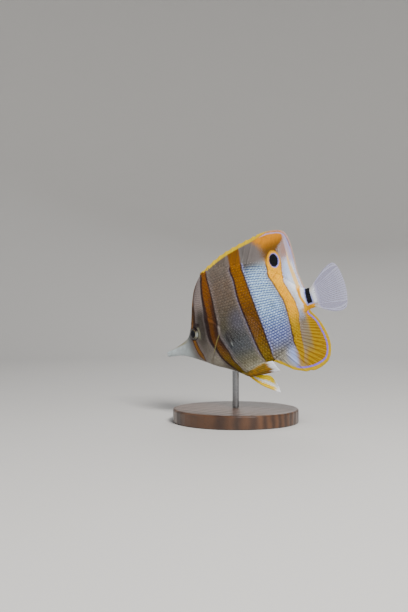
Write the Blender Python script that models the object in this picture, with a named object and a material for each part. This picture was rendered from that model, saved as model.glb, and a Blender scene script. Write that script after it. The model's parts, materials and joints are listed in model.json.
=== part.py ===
"""Copperband butterflyfish as a life-size museum model on a plain display stand.

The fish is laid out straight in its own frame, in millimetres: x runs back from the tip of the
snout, z is up and -y is the fish's left. The pose empty then tips that frame nose down over the
stand. Meshes are turned into metres as they are made.
"""
import math

import bmesh
import bpy
from mathutils import Matrix, Vector

MM = 0.001
GAP = 0.3               # clearance between neighbouring pieces
SEAT_MARGIN = 0.05      # added where flat facets lie against a curved flank
CUTTER_DEPTH = 20.0     # side-view cutters reach this far to both sides, past the whole body
SHARP_ANGLE = math.radians(35)
PATH_STEPS = 12         # straight steps between two points of a smooth path

# The fish in side view: heights of the back and belly, half-width, and the height where it is widest
BACK = [(0, 1.2), (5, 1.5), (10, 2.2), (16, 3.4), (22, 5.4), (26, 8.8), (28.5, 13.5), (31, 20.5),
        (34, 29), (37.5, 35.8), (41.5, 40.3), (46, 43.4), (54, 43.9), (62, 43), (72, 41), (83, 37.6),
        (97, 30.5), (109, 20), (117, 11.6), (122, 7.9), (126, 7)]
BELLY = [(0, -1.9), (5, -3.2), (10, -4), (15, -5.6), (20, -8), (25, -10.8), (30, -13.7), (35, -16.7),
         (40, -19.9), (47, -23.4), (54, -27.2), (61, -31.6), (67, -33.4), (75, -33), (86, -29.3),
         (96, -24.8), (107, -17), (116, -8.8), (121, -5.7), (126, -5.2)]
HALF_WIDTH = [(0, 1.1), (4, 1.6), (10, 2), (16, 2.7), (21, 3.8), (26, 5), (31, 6.1), (37, 7.2),
              (45, 8.5), (55, 9.4), (66, 9.4), (80, 8.4), (95, 6.6), (108, 4.6), (117, 3.1), (126, 2)]
WIDEST_HEIGHT = [(0, -0.3), (20, -0.5), (30, 1.5), (45, 2), (60, 1), (80, 1.5), (100, 2), (126, 0.9)]
STATION_STEP = [(0, 1.1), (20, 1.6), (25, 0.9), (44, 1.1), (60, 3), (110, 3.2), (126, 2.2)]

EDGE_ANGLE = math.radians(80)   # where a cross-section's side ends on the flat of its back or belly
BACK_PINCH = 1.25               # above 1 an ellipse is drawn in towards a lens
BELLY_PINCH = 1.1
SIDE_STEPS = 12

SNOUT_END = 21.0
STALK_START = 119.0
BODY_END = 126.0

# Gill cover, whose rear edge parts the head from the torso
GILL_NAPE_X = 45.0
GILL_BULGE = 11.4
GILL_HEIGHT = 1.5
GILL_SPREAD = 9.5
GILL_THROAT = 7.0       # how far the edge runs forward between these two heights
THROAT_TOP = -9.0
THROAT_BOTTOM = -21.0
GILL_RISE = 0.45        # how far the cover stands proud of the flank
RISE_INSET = 2.0        # where it does so most, measured forward from its edge
RISE_WIDTH = 4.0
RISE_TOP = 14.0
RISE_BOTTOM = -20.0
RISE_FADE = 6.0
GILL_SPARE = 4.0        # extra length of head and torso, cut away along the edge

# Lips and mouth
LIP_LENGTH = 2.0
LIP_SWELL = 0.35
MOUTH_LENGTH = 3.4
MOUTH_OPENING = 0.55
MOUTH_HEIGHT = -0.3

# Eyes and nostrils
EYE_X = 32.5
EYE_Z = 5.2
EYE_RADIUS = 4.6
EYE_DEPTH = 2.8
EYE_INSET = 1.2
NOSTRILS = [(24.4, 4.2, 0.5), (26.2, 5.6, 0.6)]     # x, z, radius

# Fins. An outline runs from the front of the fin's root, round its free edge, to the rear of its root
MEMBRANE = 0.27         # half-thickness
RIM = 0.2               # half-thickness at the free edge
DORSAL_START = 46.0
DORSAL_END = 122.0
DORSAL_SPINES = 9
DORSAL_RAYS = 29
DORSAL_OUTLINE = [(45.6, 44.6), (50, 46.3), (60, 49.6), (70, 51.7), (85, 53), (100, 53.3), (110.5, 51.8),
                  (118, 48.4), (120.8, 41.5), (121, 31), (120.6, 20), (122, 9.6)]
DORSAL_SPINE_SHARE = 0.47   # share of the fin's length that is held up by spines
ANAL_START = 86.0
ANAL_END = 121.5
ANAL_SPINES = 3
ANAL_RAYS = 20
ANAL_OUTLINE = [(85.4, -30.2), (90, -32.6), (95, -36.4), (103, -41), (112, -42.9), (120, -41.8),
                (126, -38.6), (129.2, -31), (128.6, -22), (125.6, -13), (121.8, -6.9)]
ANAL_SPINE_SHARE = 0.24
SPINE_NOTCH = 1.3       # how far the edge falls back between two spines,
NOTCH_LIMIT = 0.3       # but at most this share of the spines' length
MEDIAN_TAPER = 0.5      # share of the fin's height over which its fleshy root thins out
TAIL_RAYS = 17
TAIL_OUTLINE = [(127, 7.3), (133, 11.8), (139.5, 15.6), (145.8, 16.8), (148.9, 11.5), (150, 2),
                (149, -7), (146, -12.6), (139.5, -12.6), (133, -9.6), (127, -5.7)]
TAIL_EDGE_SHARE = 0.33  # share of the tail's outline along each of its two long edges
TAIL_TAPER = 0.35
STALK_EDGE = 0.25       # share of the stalk's thickness left at its upper and lower edge
RAY_RISE = 0.22         # how far rays and spines stand out on each face
SPINE_RISE = 0.45
RAY_GROWTH = 4          # they reach that height over the first quarter of their length
RAY_FADE = 0.65         # and lose this share of it towards the tip

PECTORAL_RAYS = 14
PECTORAL_ROOT = [(62.4, -4.8), (64.2, -12.2)]
PECTORAL_OUTLINE = [(79, 3.4), (85.4, 1.8), (89.2, -4), (88.8, -10), (84.4, -15.4), (77.6, -18.2),
                    (71, -17.6)]
PECTORAL_PAD = 1.5      # thickness of the fleshy root
PECTORAL_TAPER = 0.25
PECTORAL_LIFT = 7.0     # how far the fin turns away from the flank over its length
LIFT_START = 0.12       # share of its length that still lies along the flank
LIFT_POWER = 1.4

PELVIC_RAYS = 5
PELVIC_ROOT_START = 60.2
PELVIC_ROOT_END = 64.6
PELVIC_ROOT_ANGLE = math.radians(9)     # how far the root reaches up the side of the belly
PELVIC_THICK = 0.55     # half-thickness behind the root
PELVIC_THINNING = 0.5   # share of it lost towards the tip
PELVIC_LEAN = 0.4       # upward lean of the blade's thickness
PELVIC_TAPER = 0.3
LEFT_PELVIC = {
    "front": [(67, -34.6), (78, -36), (93, -37.4)],
    "rear": [(70, -30.8), (80, -29), (89.5, -30)],
    "spread": (4.4, 7.2),
}
RIGHT_PELVIC = {
    "front": [(65, -37.6), (71, -43.2), (80.4, -49.4)],
    "rear": [(69.6, -35.8), (75.2, -39), (78.8, -44.4)],
    "spread": (3.2, 6),
}

# Pose and stand
PITCH = math.radians(18)
ROD_X = 60.0            # level distance from the snout's tip to the rod
ROD_RADIUS = 2.2
ROD_CRADLE = 2.4        # how far the rod's end reaches up beside the keel of the belly
BASE_DROP = 34.0        # from the snout's tip down to the top of the base
BASE_RADIUS = 42.0
BASE_HEIGHT = 9.0
BASE_BEVEL = 1.2
ROUND_SIDES = 48

COLORS = {
    "head": (0.78, 0.76, 0.66), "snout": (0.72, 0.55, 0.2), "torso": (0.8, 0.8, 0.76),
    "tail_stalk": (0.12, 0.1, 0.09), "eye": (0.05, 0.05, 0.06), "dorsal": (0.82, 0.52, 0.12),
    "anal": (0.8, 0.42, 0.08), "tail": (0.75, 0.76, 0.74), "pectoral": (0.8, 0.78, 0.66),
    "pelvic": (0.84, 0.6, 0.14), "base": (0.13, 0.07, 0.035), "rod": (0.6, 0.6, 0.62),
}


def smooth_curve(points):
    """A curve through the points that never overshoots them, made of monotone cubic pieces."""
    steps = [(b[0] - a[0], (b[1] - a[1]) / (b[0] - a[0])) for a, b in zip(points, points[1:])]
    slopes = [steps[0][1]]
    for (_, before), (_, after) in zip(steps, steps[1:]):
        slopes.append(2 * before * after / (before + after) if before * after > 0 else 0.0)
    slopes.append(steps[-1][1])

    def value(x):
        x = min(max(x, points[0][0]), points[-1][0])
        k = 0
        while k < len(steps) - 1 and x > points[k + 1][0]:
            k += 1
        width = steps[k][0]
        t = (x - points[k][0]) / width
        return ((1 + 2 * t) * (1 - t) ** 2 * points[k][1] + t * (1 - t) ** 2 * width * slopes[k]
                + t * t * (3 - 2 * t) * points[k + 1][1] + t * t * (t - 1) * width * slopes[k + 1])

    return value


def smooth_path(points):
    """A Catmull-Rom path through the points, read by its share of length from 0 to 1."""
    ends = [Vector(p) for p in points]
    ends = [2 * ends[0] - ends[1]] + ends + [2 * ends[-1] - ends[-2]]
    fine = []
    for k in range(1, len(ends) - 2):
        a, b, c, d = ends[k - 1:k + 3]
        for step in range(PATH_STEPS):
            t = step / PATH_STEPS
            fine.append(0.5 * (2 * b + (c - a) * t + (2 * a - 5 * b + 4 * c - d) * t * t
                               + (3 * b - a - 3 * c + d) * t ** 3))
    fine.append(ends[-2])
    lengths = [0.0]
    for a, b in zip(fine, fine[1:]):
        lengths.append(lengths[-1] + (b - a).length)

    def place(share):
        goal = min(max(share, 0.0), 1.0) * lengths[-1]
        k = 0
        while k < len(fine) - 2 and lengths[k + 1] < goal:
            k += 1
        return fine[k].lerp(fine[k + 1], (goal - lengths[k]) / (lengths[k + 1] - lengths[k]))

    return place


def ease(value):
    """0 below 0, 1 above 1 and a smooth step between."""
    t = min(max(value, 0.0), 1.0)
    return t * t * (3 - 2 * t)


back = smooth_curve(BACK)
belly = smooth_curve(BELLY)
half_width = smooth_curve(HALF_WIDTH)
widest_height = smooth_curve(WIDEST_HEIGHT)
station_step = smooth_curve(STATION_STEP)


def gill_edge(z):
    """Distance back from the snout's tip to the gill cover's rear edge at height z."""
    bulge = GILL_BULGE * math.exp(-((z - GILL_HEIGHT) / GILL_SPREAD) ** 2)
    return GILL_NAPE_X + bulge - GILL_THROAT * ease((THROAT_TOP - z) / (THROAT_TOP - THROAT_BOTTOM))


def gill_swell(x, z):
    """The gill cover stands a little proud of the flank along its rear edge."""
    near_edge = math.exp(-((x - gill_edge(z) + RISE_INSET) / RISE_WIDTH) ** 2)
    return GILL_RISE * near_edge * ease((z - RISE_BOTTOM) / RISE_FADE) * ease((RISE_TOP - z) / RISE_FADE)


def lip_swell(x, _z):
    """Fleshy lips round the tip of the snout, the same at every height."""
    return LIP_SWELL * math.sin(math.pi * min(max(x / LIP_LENGTH, 0.0), 1.0))


def side_point(x, angle, side, swell=None, grow=0.0):
    """A point on the body's side, from angle +EDGE_ANGLE at the back to -EDGE_ANGLE at the belly."""
    waist = widest_height(x)
    reach = math.sin(angle) / math.sin(EDGE_ANGLE)
    if angle > 0:
        z = waist + (back(x) + grow - waist) * reach
        pinch = BACK_PINCH
    else:
        z = waist + (waist - belly(x) + grow) * reach
        pinch = BELLY_PINCH
    y = half_width(x) * math.cos(angle) ** pinch + grow
    if swell:
        y += swell(x, z)
    return Vector((x, side * y, z))


def flank(x, z):
    """The body's half-width at a point of its side view, or 0 outside its outline."""
    waist = widest_height(x)
    if z > waist:
        share, pinch = (z - waist) / (back(x) - waist), BACK_PINCH
    else:
        share, pinch = (waist - z) / (waist - belly(x)), BELLY_PINCH
    if share > 1:
        return 0.0
    return half_width(x) * math.cos(math.asin(share * math.sin(EDGE_ANGLE))) ** pinch


def make_material(name, color, roughness=0.45, metallic=0.0):
    material = bpy.data.materials.new(name)
    material.use_nodes = True
    shader = material.node_tree.nodes["Principled BSDF"]
    shader.inputs["Base Color"].default_value = (*color, 1)
    shader.inputs["Roughness"].default_value = roughness
    shader.inputs["Metallic"].default_value = metallic
    return material


def make_object(name, points, faces, parent, material=None):
    """A mesh object from points in millimetres."""
    mesh = bpy.data.meshes.new(name)
    mesh.from_pydata([Vector(p) * MM for p in points], [], faces)
    mesh.validate()
    finish_mesh(mesh)
    if material:
        mesh.materials.append(material)
    obj = bpy.data.objects.new(name, mesh)
    bpy.context.collection.objects.link(obj)
    obj.parent = parent
    return obj


def finish_mesh(mesh):
    """Outward normals, and smooth shading up to the sharp angle."""
    bm = bmesh.new()
    bm.from_mesh(mesh)
    bmesh.ops.recalc_face_normals(bm, faces=bm.faces)
    bm.to_mesh(mesh)
    bm.free()
    mesh.shade_smooth()
    mesh.set_sharp_from_angle(angle=SHARP_ANGLE)


def boolean(obj, cutter, operation):
    """Cut or intersect an object with a cutter, then remove the cutter."""
    cutter.hide_render = True
    cutter.display_type = "WIRE"
    modifier = obj.modifiers.new("cut", "BOOLEAN")
    modifier.operation = operation
    modifier.object = cutter
    bpy.context.view_layer.update()
    evaluated = obj.evaluated_get(bpy.context.evaluated_depsgraph_get())
    mesh = bpy.data.meshes.new_from_object(evaluated)
    obj.modifiers.clear()
    material = obj.data.materials[0]
    obj.data = mesh
    mesh.materials.clear()
    mesh.materials.append(material)
    keep_largest(mesh)
    finish_mesh(mesh)
    bpy.data.objects.remove(cutter)


def keep_largest(mesh):
    """Keep the mesh's largest closed surface."""
    bm = bmesh.new()
    bm.from_mesh(mesh)
    bm.verts.ensure_lookup_table()
    seen, shells = set(), []
    for vert in bm.verts:
        if vert in seen:
            continue
        shell, stack = set(), [vert]
        while stack:
            current = stack.pop()
            if current in shell:
                continue
            shell.add(current)
            stack.extend(edge.other_vert(current) for edge in current.link_edges)
        seen |= shell
        shells.append(shell)
    largest = max(shells, key=len)
    bmesh.ops.delete(bm, geom=[v for v in bm.verts if v not in largest], context="VERTS")
    bm.to_mesh(mesh)
    bm.free()


def prism(name, outline, half_depth, parent):
    """A side-view outline of (x, z) points pulled out to both sides."""
    count = len(outline)
    points = [(x, side * half_depth, z) for side in (-1, 1) for x, z in outline]
    faces = [list(range(count)), list(range(2 * count - 1, count - 1, -1))]
    faces += [(k, (k + 1) % count, (k + 1) % count + count, k + count) for k in range(count)]
    return make_object(name, points, faces, parent)


def stations(start, end):
    """Places along the body, closer together where its outline turns quickly."""
    places = [start]
    while places[-1] < end:
        places.append(places[-1] + station_step(places[-1]))
    stretch = (end - start) / (places[-1] - start)
    return [start + (x - start) * stretch for x in places]


def body_length(name, start, end, parent, material=None, swell=None, grow=0.0):
    """A closed length of the body between two places."""
    angles = [EDGE_ANGLE * (1 - 2 * step / SIDE_STEPS) for step in range(SIDE_STEPS + 1)]
    points, faces = [], []
    places = stations(start, end)
    for x in places:
        points += [side_point(x, angle, -1, swell, grow) for angle in angles]
        points += [side_point(x, angle, 1, swell, grow) for angle in reversed(angles)]
    count = 2 * len(angles)
    for row in range(len(places) - 1):
        for k in range(count):
            a, b = row * count + k, row * count + (k + 1) % count
            faces.append((a, b, b + count, a + count))
    faces.append(list(range(count)))
    faces.append([len(points) - 1 - k for k in range(count)])
    return make_object(name, points, faces, parent, material)


def gill_cutter(shift, parent):
    """Everything in front of the gill cover's edge, moved back by shift."""
    lowest, spacing, count = -45, 3, 33
    heights = [lowest + spacing * step for step in range(count)]
    outline = [(gill_edge(z) + shift, z) for z in heights]
    front = -GILL_SPARE
    outline += [(front, heights[-1]), (front, heights[0])]
    return prism("gill_cutter", outline, CUTTER_DEPTH, parent)


def ball(name, centre, radii, turn, parent, material=None, sides=20):
    """An ellipsoid whose own y axis is turned to point along the given direction."""
    bm = bmesh.new()
    bmesh.ops.create_uvsphere(bm, u_segments=sides, v_segments=sides // 2 + 2, radius=1)
    axis = Vector(turn).to_track_quat("Y", "Z").to_matrix().to_4x4()
    scale = Matrix.Diagonal((*radii, 1))
    bm.transform(Matrix.Translation(centre) @ axis @ scale)
    points = [v.co.copy() for v in bm.verts]
    faces = [[v.index for v in face.verts] for face in bm.faces]
    bm.free()
    return make_object(name, points, faces, parent, material)


def flank_normal(x, z, side):
    """The flank's outward direction at a point of the side view."""
    step = 0.2
    slope_x = (flank(x + step, z) - flank(x - step, z)) / (2 * step)
    slope_z = (flank(x, z + step) - flank(x, z - step)) / (2 * step)
    return Vector((-slope_x, side, -slope_z)).normalized()


def make_snout(parent):
    snout = body_length("snout", 0, SNOUT_END - GAP / 2, parent,
                        make_material("snout", COLORS["snout"]), lip_swell)
    half_slit = MOUTH_OPENING / 2
    slit = [(-1, MOUTH_HEIGHT + half_slit), (-1, MOUTH_HEIGHT - half_slit), (MOUTH_LENGTH, MOUTH_HEIGHT)]
    boolean(snout, prism("mouth_cutter", slit, CUTTER_DEPTH, parent), "DIFFERENCE")


def make_head(parent):
    head = body_length("head", SNOUT_END + GAP / 2, GILL_NAPE_X + GILL_BULGE + GILL_SPARE, parent,
                       make_material("head", COLORS["head"]), gill_swell)
    boolean(head, gill_cutter(-GAP / 2, parent), "INTERSECT")
    for side in (-1, 1):
        normal = flank_normal(EYE_X, EYE_Z, side)
        centre = Vector((EYE_X, side * flank(EYE_X, EYE_Z), EYE_Z)) - normal * EYE_INSET
        name = "eye_left" if side < 0 else "eye_right"
        radii = (EYE_RADIUS, EYE_DEPTH, EYE_RADIUS)
        ball(name, centre, radii, normal, parent, make_material(name, COLORS["eye"], 0.1))
        socket = ball("socket", centre, [r + GAP for r in radii], normal, parent)
        boolean(head, socket, "DIFFERENCE")
        for x, z, radius in NOSTRILS:
            place = Vector((x, side * flank(x, z), z))
            pit = ball("nostril", place, [radius] * 3, flank_normal(x, z, side), parent, sides=8)
            boolean(head, pit, "DIFFERENCE")


def make_torso(parent):
    torso = body_length("torso", GILL_NAPE_X - GILL_THROAT - GILL_SPARE, STALK_START - GAP / 2, parent,
                        make_material("torso", COLORS["torso"]))
    boolean(torso, gill_cutter(GAP / 2, parent), "DIFFERENCE")
    body_length("tail_stalk", STALK_START + GAP / 2, BODY_END, parent,
                make_material("tail_stalk", COLORS["tail_stalk"]))


def blade(name, place, across, along, parent, material):
    """A thin closed fin. place(s, v) gives a point of its middle surface and the half-thickness
    vector there, for s across the rays and v from root to free edge. Both faces split alike."""
    points, faces = [], []
    for face in (1, -1):
        for s in across:
            for v in along:
                centre, half = place(s, v)
                points.append(centre + face * half)
    columns, rows = len(across), len(along)
    other = columns * rows
    for i in range(columns - 1):
        for j in range(rows - 1):
            a, b = i * rows + j, (i + 1) * rows + j
            faces += [(a, b, b + 1), (a, b + 1, a + 1)]
            faces += [(b + other, a + other, b + 1 + other), (b + 1 + other, a + other, a + 1 + other)]
    border = [j for j in range(rows)]
    border += [i * rows + rows - 1 for i in range(1, columns)]
    border += [(columns - 1) * rows + j for j in range(rows - 2, -1, -1)]
    border += [i * rows for i in range(columns - 2, 0, -1)]
    for a, b in zip(border, border[1:] + border[:1]):
        faces += [(a, a + other, b + other), (a, b + other, b)]
    return make_object(name, points, faces, parent, material)


def ray_places(count, start=0.0, end=1.0):
    """Shares across a fin: hollow, ray, hollow and so on, and whether each is on a ray."""
    steps = 2 * count
    return [(start + (end - start) * step / steps, step % 2 == 1) for step in range(steps + 1)]


def ray_height(rise, v):
    """How far a ray stands out at the share v of its length."""
    return rise * min(RAY_GROWTH * v, 1) * (1 - RAY_FADE * v)


def keel_point(edge, x, outward):
    """A point just off the flat of the back or belly, where a median fin's root lies."""
    step = 0.1
    slope = (edge(x + step) - edge(x - step)) / (2 * step)
    normal = Vector((-slope * outward, outward)).normalized()
    return Vector((x, edge(x))) + normal * GAP


def make_median_fin(name, edge, outward, start, end, outline, spines, rays, spine_share, parent, color):
    """A fin on the back or belly: stiff spines in front, then soft rays, all raised on both faces."""
    free_edge = smooth_path(outline)
    steps = 16
    root_path = smooth_path([keel_point(edge, start + (end - start) * step / steps, outward)
                             for step in range(steps + 1)])
    pinch = BACK_PINCH if outward > 0 else BELLY_PINCH
    across = ray_places(spines, 0.0, spine_share) + ray_places(rays, spine_share, 1.0)[1:]
    on_ray = dict(across)

    def place(s, v):
        root = root_path(s)
        tip = free_edge(s)
        in_spines = s < spine_share
        if in_spines and not on_ray[s]:
            length = (tip - root).length
            tip = tip - (tip - root).normalized() * min(SPINE_NOTCH, NOTCH_LIMIT * length)
        point = root.lerp(tip, v)
        flesh = half_width(min(root.x, BODY_END)) * math.cos(EDGE_ANGLE) ** pinch
        half = MEMBRANE + (max(flesh, MEMBRANE) - MEMBRANE) * (1 - ease(v / MEDIAN_TAPER))
        if on_ray[s]:
            half += ray_height(SPINE_RISE if in_spines else RAY_RISE, v)
        if v == 1:
            half = RIM
        return Vector((point.x, 0, point.y)), Vector((0, half, 0))

    along = [0, 0.25, 0.5, 0.75, 0.93, 1]
    blade(name, place, [s for s, _ in across], along, parent, make_material(name, color))


def make_tail_fin(parent):
    """The tail fin fans out from the end of the body."""
    free_edge = smooth_path(TAIL_OUTLINE)
    top, bottom = back(BODY_END), belly(BODY_END)
    across = ray_places(TAIL_RAYS)
    on_ray = dict(across)

    def place(s, v):
        root = Vector((BODY_END + GAP, top + (bottom - top) * s))
        # Rays end on the rear edge, and the outermost two run along the fin's long edges
        start, end = TAIL_EDGE_SHARE, 1 - TAIL_EDGE_SHARE
        if s == 0 or s == 1:
            point = free_edge(v * start) if s == 0 else free_edge(1 - v * start)
            if v == 0:
                point = root
        else:
            point = root.lerp(free_edge(start + (end - start) * s), v)
        flesh = half_width(BODY_END) * max(math.sqrt(1 - (2 * s - 1) ** 2), STALK_EDGE)
        half = MEMBRANE + (flesh - MEMBRANE) * (1 - ease(v / TAIL_TAPER))
        if on_ray[s]:
            half += ray_height(RAY_RISE, v)
        if v == 1:
            half = RIM
        return Vector((point.x, 0, point.y)), Vector((0, half, 0))

    along = [0, 0.12, 0.3, 0.5, 0.7, 0.88, 1]
    material = make_material("tail_fin", COLORS["tail"])
    blade("tail_fin", place, [s for s, _ in across], along, parent, material)


def make_pectoral_fin(side, parent):
    """A rounded, almost clear fan behind the gill cover, on a fleshy root against the flank."""
    free_edge = smooth_path(PECTORAL_OUTLINE)
    root_top, root_bottom = (Vector(p) for p in PECTORAL_ROOT)
    across = ray_places(PECTORAL_RAYS)
    on_ray = dict(across)

    def place(s, v):
        point = root_top.lerp(root_bottom, s).lerp(free_edge(s), v)
        half = MEMBRANE + (PECTORAL_PAD / 2 - MEMBRANE) * (1 - ease(v / PECTORAL_TAPER))
        if on_ray[s]:
            half += ray_height(RAY_RISE, v)
        if v == 1:
            half = RIM
        lift = PECTORAL_LIFT * max(v - LIFT_START, 0) ** LIFT_POWER
        y = flank(point.x, point.y) + GAP + half + SEAT_MARGIN + lift
        return Vector((point.x, side * y, point.y)), Vector((0, side * half, 0))

    name = "pectoral_fin_left" if side < 0 else "pectoral_fin_right"
    along = [0, 0.15, 0.3, 0.5, 0.7, 0.88, 1]
    blade(name, place, [s for s, _ in across], along, parent, make_material(name, COLORS["pectoral"]))


def make_pelvic_fin(side, shape, parent):
    """A narrow fin under the belly, with one stout spine along its front edge."""
    front = smooth_path([(PELVIC_ROOT_START, belly(PELVIC_ROOT_START))] + shape["front"])
    rear = smooth_path([(PELVIC_ROOT_END, belly(PELVIC_ROOT_END))] + shape["rear"])
    across = ray_places(PELVIC_RAYS + 1)
    on_ray = dict(across)
    spine_place = across[1][0]
    near, far = shape["spread"]

    def place(s, v):
        x = PELVIC_ROOT_START + (PELVIC_ROOT_END - PELVIC_ROOT_START) * s
        inner = side_point(x, -EDGE_ANGLE, side, grow=GAP)
        outer = side_point(x, -EDGE_ANGLE + PELVIC_ROOT_ANGLE, side, grow=GAP)
        root, root_half = (inner + outer) / 2, (outer - inner) / 2
        flat = front(v).lerp(rear(v), s)
        out = near + (far - near) * v
        point = Vector((flat.x, side * out, flat.y))
        point = root.lerp(point, ease(v / PELVIC_TAPER))
        half = PELVIC_THICK * (1 - PELVIC_THINNING * v)
        if on_ray[s]:
            half += ray_height(SPINE_RISE if s == spine_place else RAY_RISE, v)
        if v == 1:
            half = RIM
        blade_half = Vector((0, side * half, half * PELVIC_LEAN))
        return point, root_half.lerp(blade_half, ease(v / PELVIC_TAPER))

    name = "pelvic_fin_left" if side < 0 else "pelvic_fin_right"
    along = [0, 0.15, 0.3, 0.5, 0.7, 0.86, 1]
    blade(name, place, [s for s, _ in across], along, parent, make_material(name, COLORS["pelvic"]))


def turned(name, profile, parent, material):
    """A solid turned about the upright through the rod, from (radius, height) points."""
    points, faces = [], []
    for radius, height in profile:
        for k in range(ROUND_SIDES):
            angle = 2 * math.pi * k / ROUND_SIDES
            points.append((ROD_X + radius * math.cos(angle), radius * math.sin(angle), height))
    for row in range(len(profile) - 1):
        for k in range(ROUND_SIDES):
            a, b = row * ROUND_SIDES + k, row * ROUND_SIDES + (k + 1) % ROUND_SIDES
            faces.append((a, b, b + ROUND_SIDES, a + ROUND_SIDES))
    faces.append(list(range(ROUND_SIDES)))
    faces.append([len(points) - 1 - k for k in range(ROUND_SIDES)])
    return make_object(name, points, faces, parent, material)


def make_stand(parent, pose):
    """A round wooden base and a steel rod that cradles the keel of the belly."""
    top = -BASE_DROP
    bottom = top - BASE_HEIGHT
    outline = [(BASE_RADIUS - BASE_BEVEL / 2, bottom), (BASE_RADIUS, bottom + BASE_BEVEL / 2),
               (BASE_RADIUS, top - BASE_BEVEL)]
    for degrees in (30, 60, 90):
        turn = math.radians(degrees)
        outline.append((BASE_RADIUS - BASE_BEVEL * (1 - math.cos(turn)),
                        top - BASE_BEVEL * (1 - math.sin(turn))))
    turned("stand_base", outline, parent, make_material("stand_base", COLORS["base"], 0.4))

    # The belly point above the rod, found along the keel in the tipped frame
    keel_x = ROD_X
    for _ in range(20):
        keel_x = (ROD_X + belly(keel_x) * math.sin(PITCH)) / math.cos(PITCH)
    keel_height = keel_x * math.sin(PITCH) + belly(keel_x) * math.cos(PITCH)
    outline = [(ROD_RADIUS, top + GAP), (ROD_RADIUS, keel_height + ROD_CRADLE)]
    rod = turned("stand_rod", outline, parent, make_material("stand_rod", COLORS["rod"], 0.3, 1.0))
    blank = body_length("body_blank", SNOUT_END, BODY_END, pose, grow=GAP)
    boolean(rod, blank, "DIFFERENCE")


def stand_on_floor(root):
    """Move the whole part so that its origin is the bottom centre of its box."""
    bpy.context.view_layer.update()
    corners = [obj.matrix_world @ v.co for obj in bpy.data.objects if obj.type == "MESH"
               for v in obj.data.vertices]
    low = [min(c[k] for c in corners) for k in range(3)]
    high = [max(c[k] for c in corners) for k in range(3)]
    root.location = (-(low[0] + high[0]) / 2, -(low[1] + high[1]) / 2, -low[2])


def main():
    for obj in list(bpy.data.objects):
        bpy.data.objects.remove(obj, do_unlink=True)
    root = bpy.data.objects.new("display", None)
    pose = bpy.data.objects.new("pose", None)
    for empty in (root, pose):
        bpy.context.collection.objects.link(empty)
    pose.parent = root
    pose.rotation_euler = (0, -PITCH, 0)
    bpy.context.view_layer.update()

    make_snout(pose)
    make_head(pose)
    make_torso(pose)
    make_median_fin("dorsal_fin", back, 1, DORSAL_START, DORSAL_END, DORSAL_OUTLINE, DORSAL_SPINES,
                    DORSAL_RAYS, DORSAL_SPINE_SHARE, pose, COLORS["dorsal"])
    make_median_fin("anal_fin", belly, -1, ANAL_START, ANAL_END, ANAL_OUTLINE, ANAL_SPINES,
                    ANAL_RAYS, ANAL_SPINE_SHARE, pose, COLORS["anal"])
    make_tail_fin(pose)
    for side, shape in ((-1, LEFT_PELVIC), (1, RIGHT_PELVIC)):
        make_pectoral_fin(side, pose)
        make_pelvic_fin(side, shape, pose)
    make_stand(root, pose)
    stand_on_floor(root)


main()
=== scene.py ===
"""Looks of the life-size copperband butterflyfish on its plain display stand.

The fish is laid out in its own frame, in millimetres: x runs back from the tip of the snout, z is
up and -y is the fish's left. POSE carries that frame, in metres, to its place over the stand.
Its pattern is a set of fields, each the distance in millimetres inside one marking, which are
worked out at every vertex of the skin, the scales and the fins, and coloured by their materials.
"""
import json
import math

import bpy
import numpy as np
from mathutils import Matrix, Vector

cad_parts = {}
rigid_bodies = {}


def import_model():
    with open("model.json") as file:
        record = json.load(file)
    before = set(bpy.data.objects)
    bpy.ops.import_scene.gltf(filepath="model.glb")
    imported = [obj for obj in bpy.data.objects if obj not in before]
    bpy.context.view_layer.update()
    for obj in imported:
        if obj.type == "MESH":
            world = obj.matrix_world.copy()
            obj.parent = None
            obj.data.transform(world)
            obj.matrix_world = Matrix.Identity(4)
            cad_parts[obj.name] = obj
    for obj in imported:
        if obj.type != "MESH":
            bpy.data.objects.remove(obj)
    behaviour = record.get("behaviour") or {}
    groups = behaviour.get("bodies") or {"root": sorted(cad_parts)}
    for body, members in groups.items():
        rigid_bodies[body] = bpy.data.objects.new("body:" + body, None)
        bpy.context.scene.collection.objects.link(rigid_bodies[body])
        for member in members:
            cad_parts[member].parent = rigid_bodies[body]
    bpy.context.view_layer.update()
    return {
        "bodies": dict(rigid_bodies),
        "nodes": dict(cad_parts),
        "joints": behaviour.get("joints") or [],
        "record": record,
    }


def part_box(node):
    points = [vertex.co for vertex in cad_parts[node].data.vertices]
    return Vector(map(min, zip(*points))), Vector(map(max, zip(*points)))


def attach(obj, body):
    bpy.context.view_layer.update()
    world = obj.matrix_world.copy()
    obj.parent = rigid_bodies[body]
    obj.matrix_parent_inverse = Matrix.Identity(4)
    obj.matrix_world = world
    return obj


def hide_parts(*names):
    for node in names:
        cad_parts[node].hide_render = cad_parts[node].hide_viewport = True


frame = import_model()

MM = 0.001

# The fish in side view, as in the solids
BACK = [(0, 1.2), (5, 1.5), (10, 2.2), (16, 3.4), (22, 5.4), (26, 8.8), (28.5, 13.5), (31, 20.5),
        (34, 29), (37.5, 35.8), (41.5, 40.3), (46, 43.4), (54, 43.9), (62, 43), (72, 41), (83, 37.6),
        (97, 30.5), (109, 20), (117, 11.6), (122, 7.9), (126, 7)]
BELLY = [(0, -1.9), (5, -3.2), (10, -4), (15, -5.6), (20, -8), (25, -10.8), (30, -13.7), (35, -16.7),
         (40, -19.9), (47, -23.4), (54, -27.2), (61, -31.6), (67, -33.4), (75, -33), (86, -29.3),
         (96, -24.8), (107, -17), (116, -8.8), (121, -5.7), (126, -5.2)]
HALF_WIDTH = [(0, 1.1), (4, 1.6), (10, 2), (16, 2.7), (21, 3.8), (26, 5), (31, 6.1), (37, 7.2),
              (45, 8.5), (55, 9.4), (66, 9.4), (80, 8.4), (95, 6.6), (108, 4.6), (117, 3.1), (126, 2)]
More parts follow.
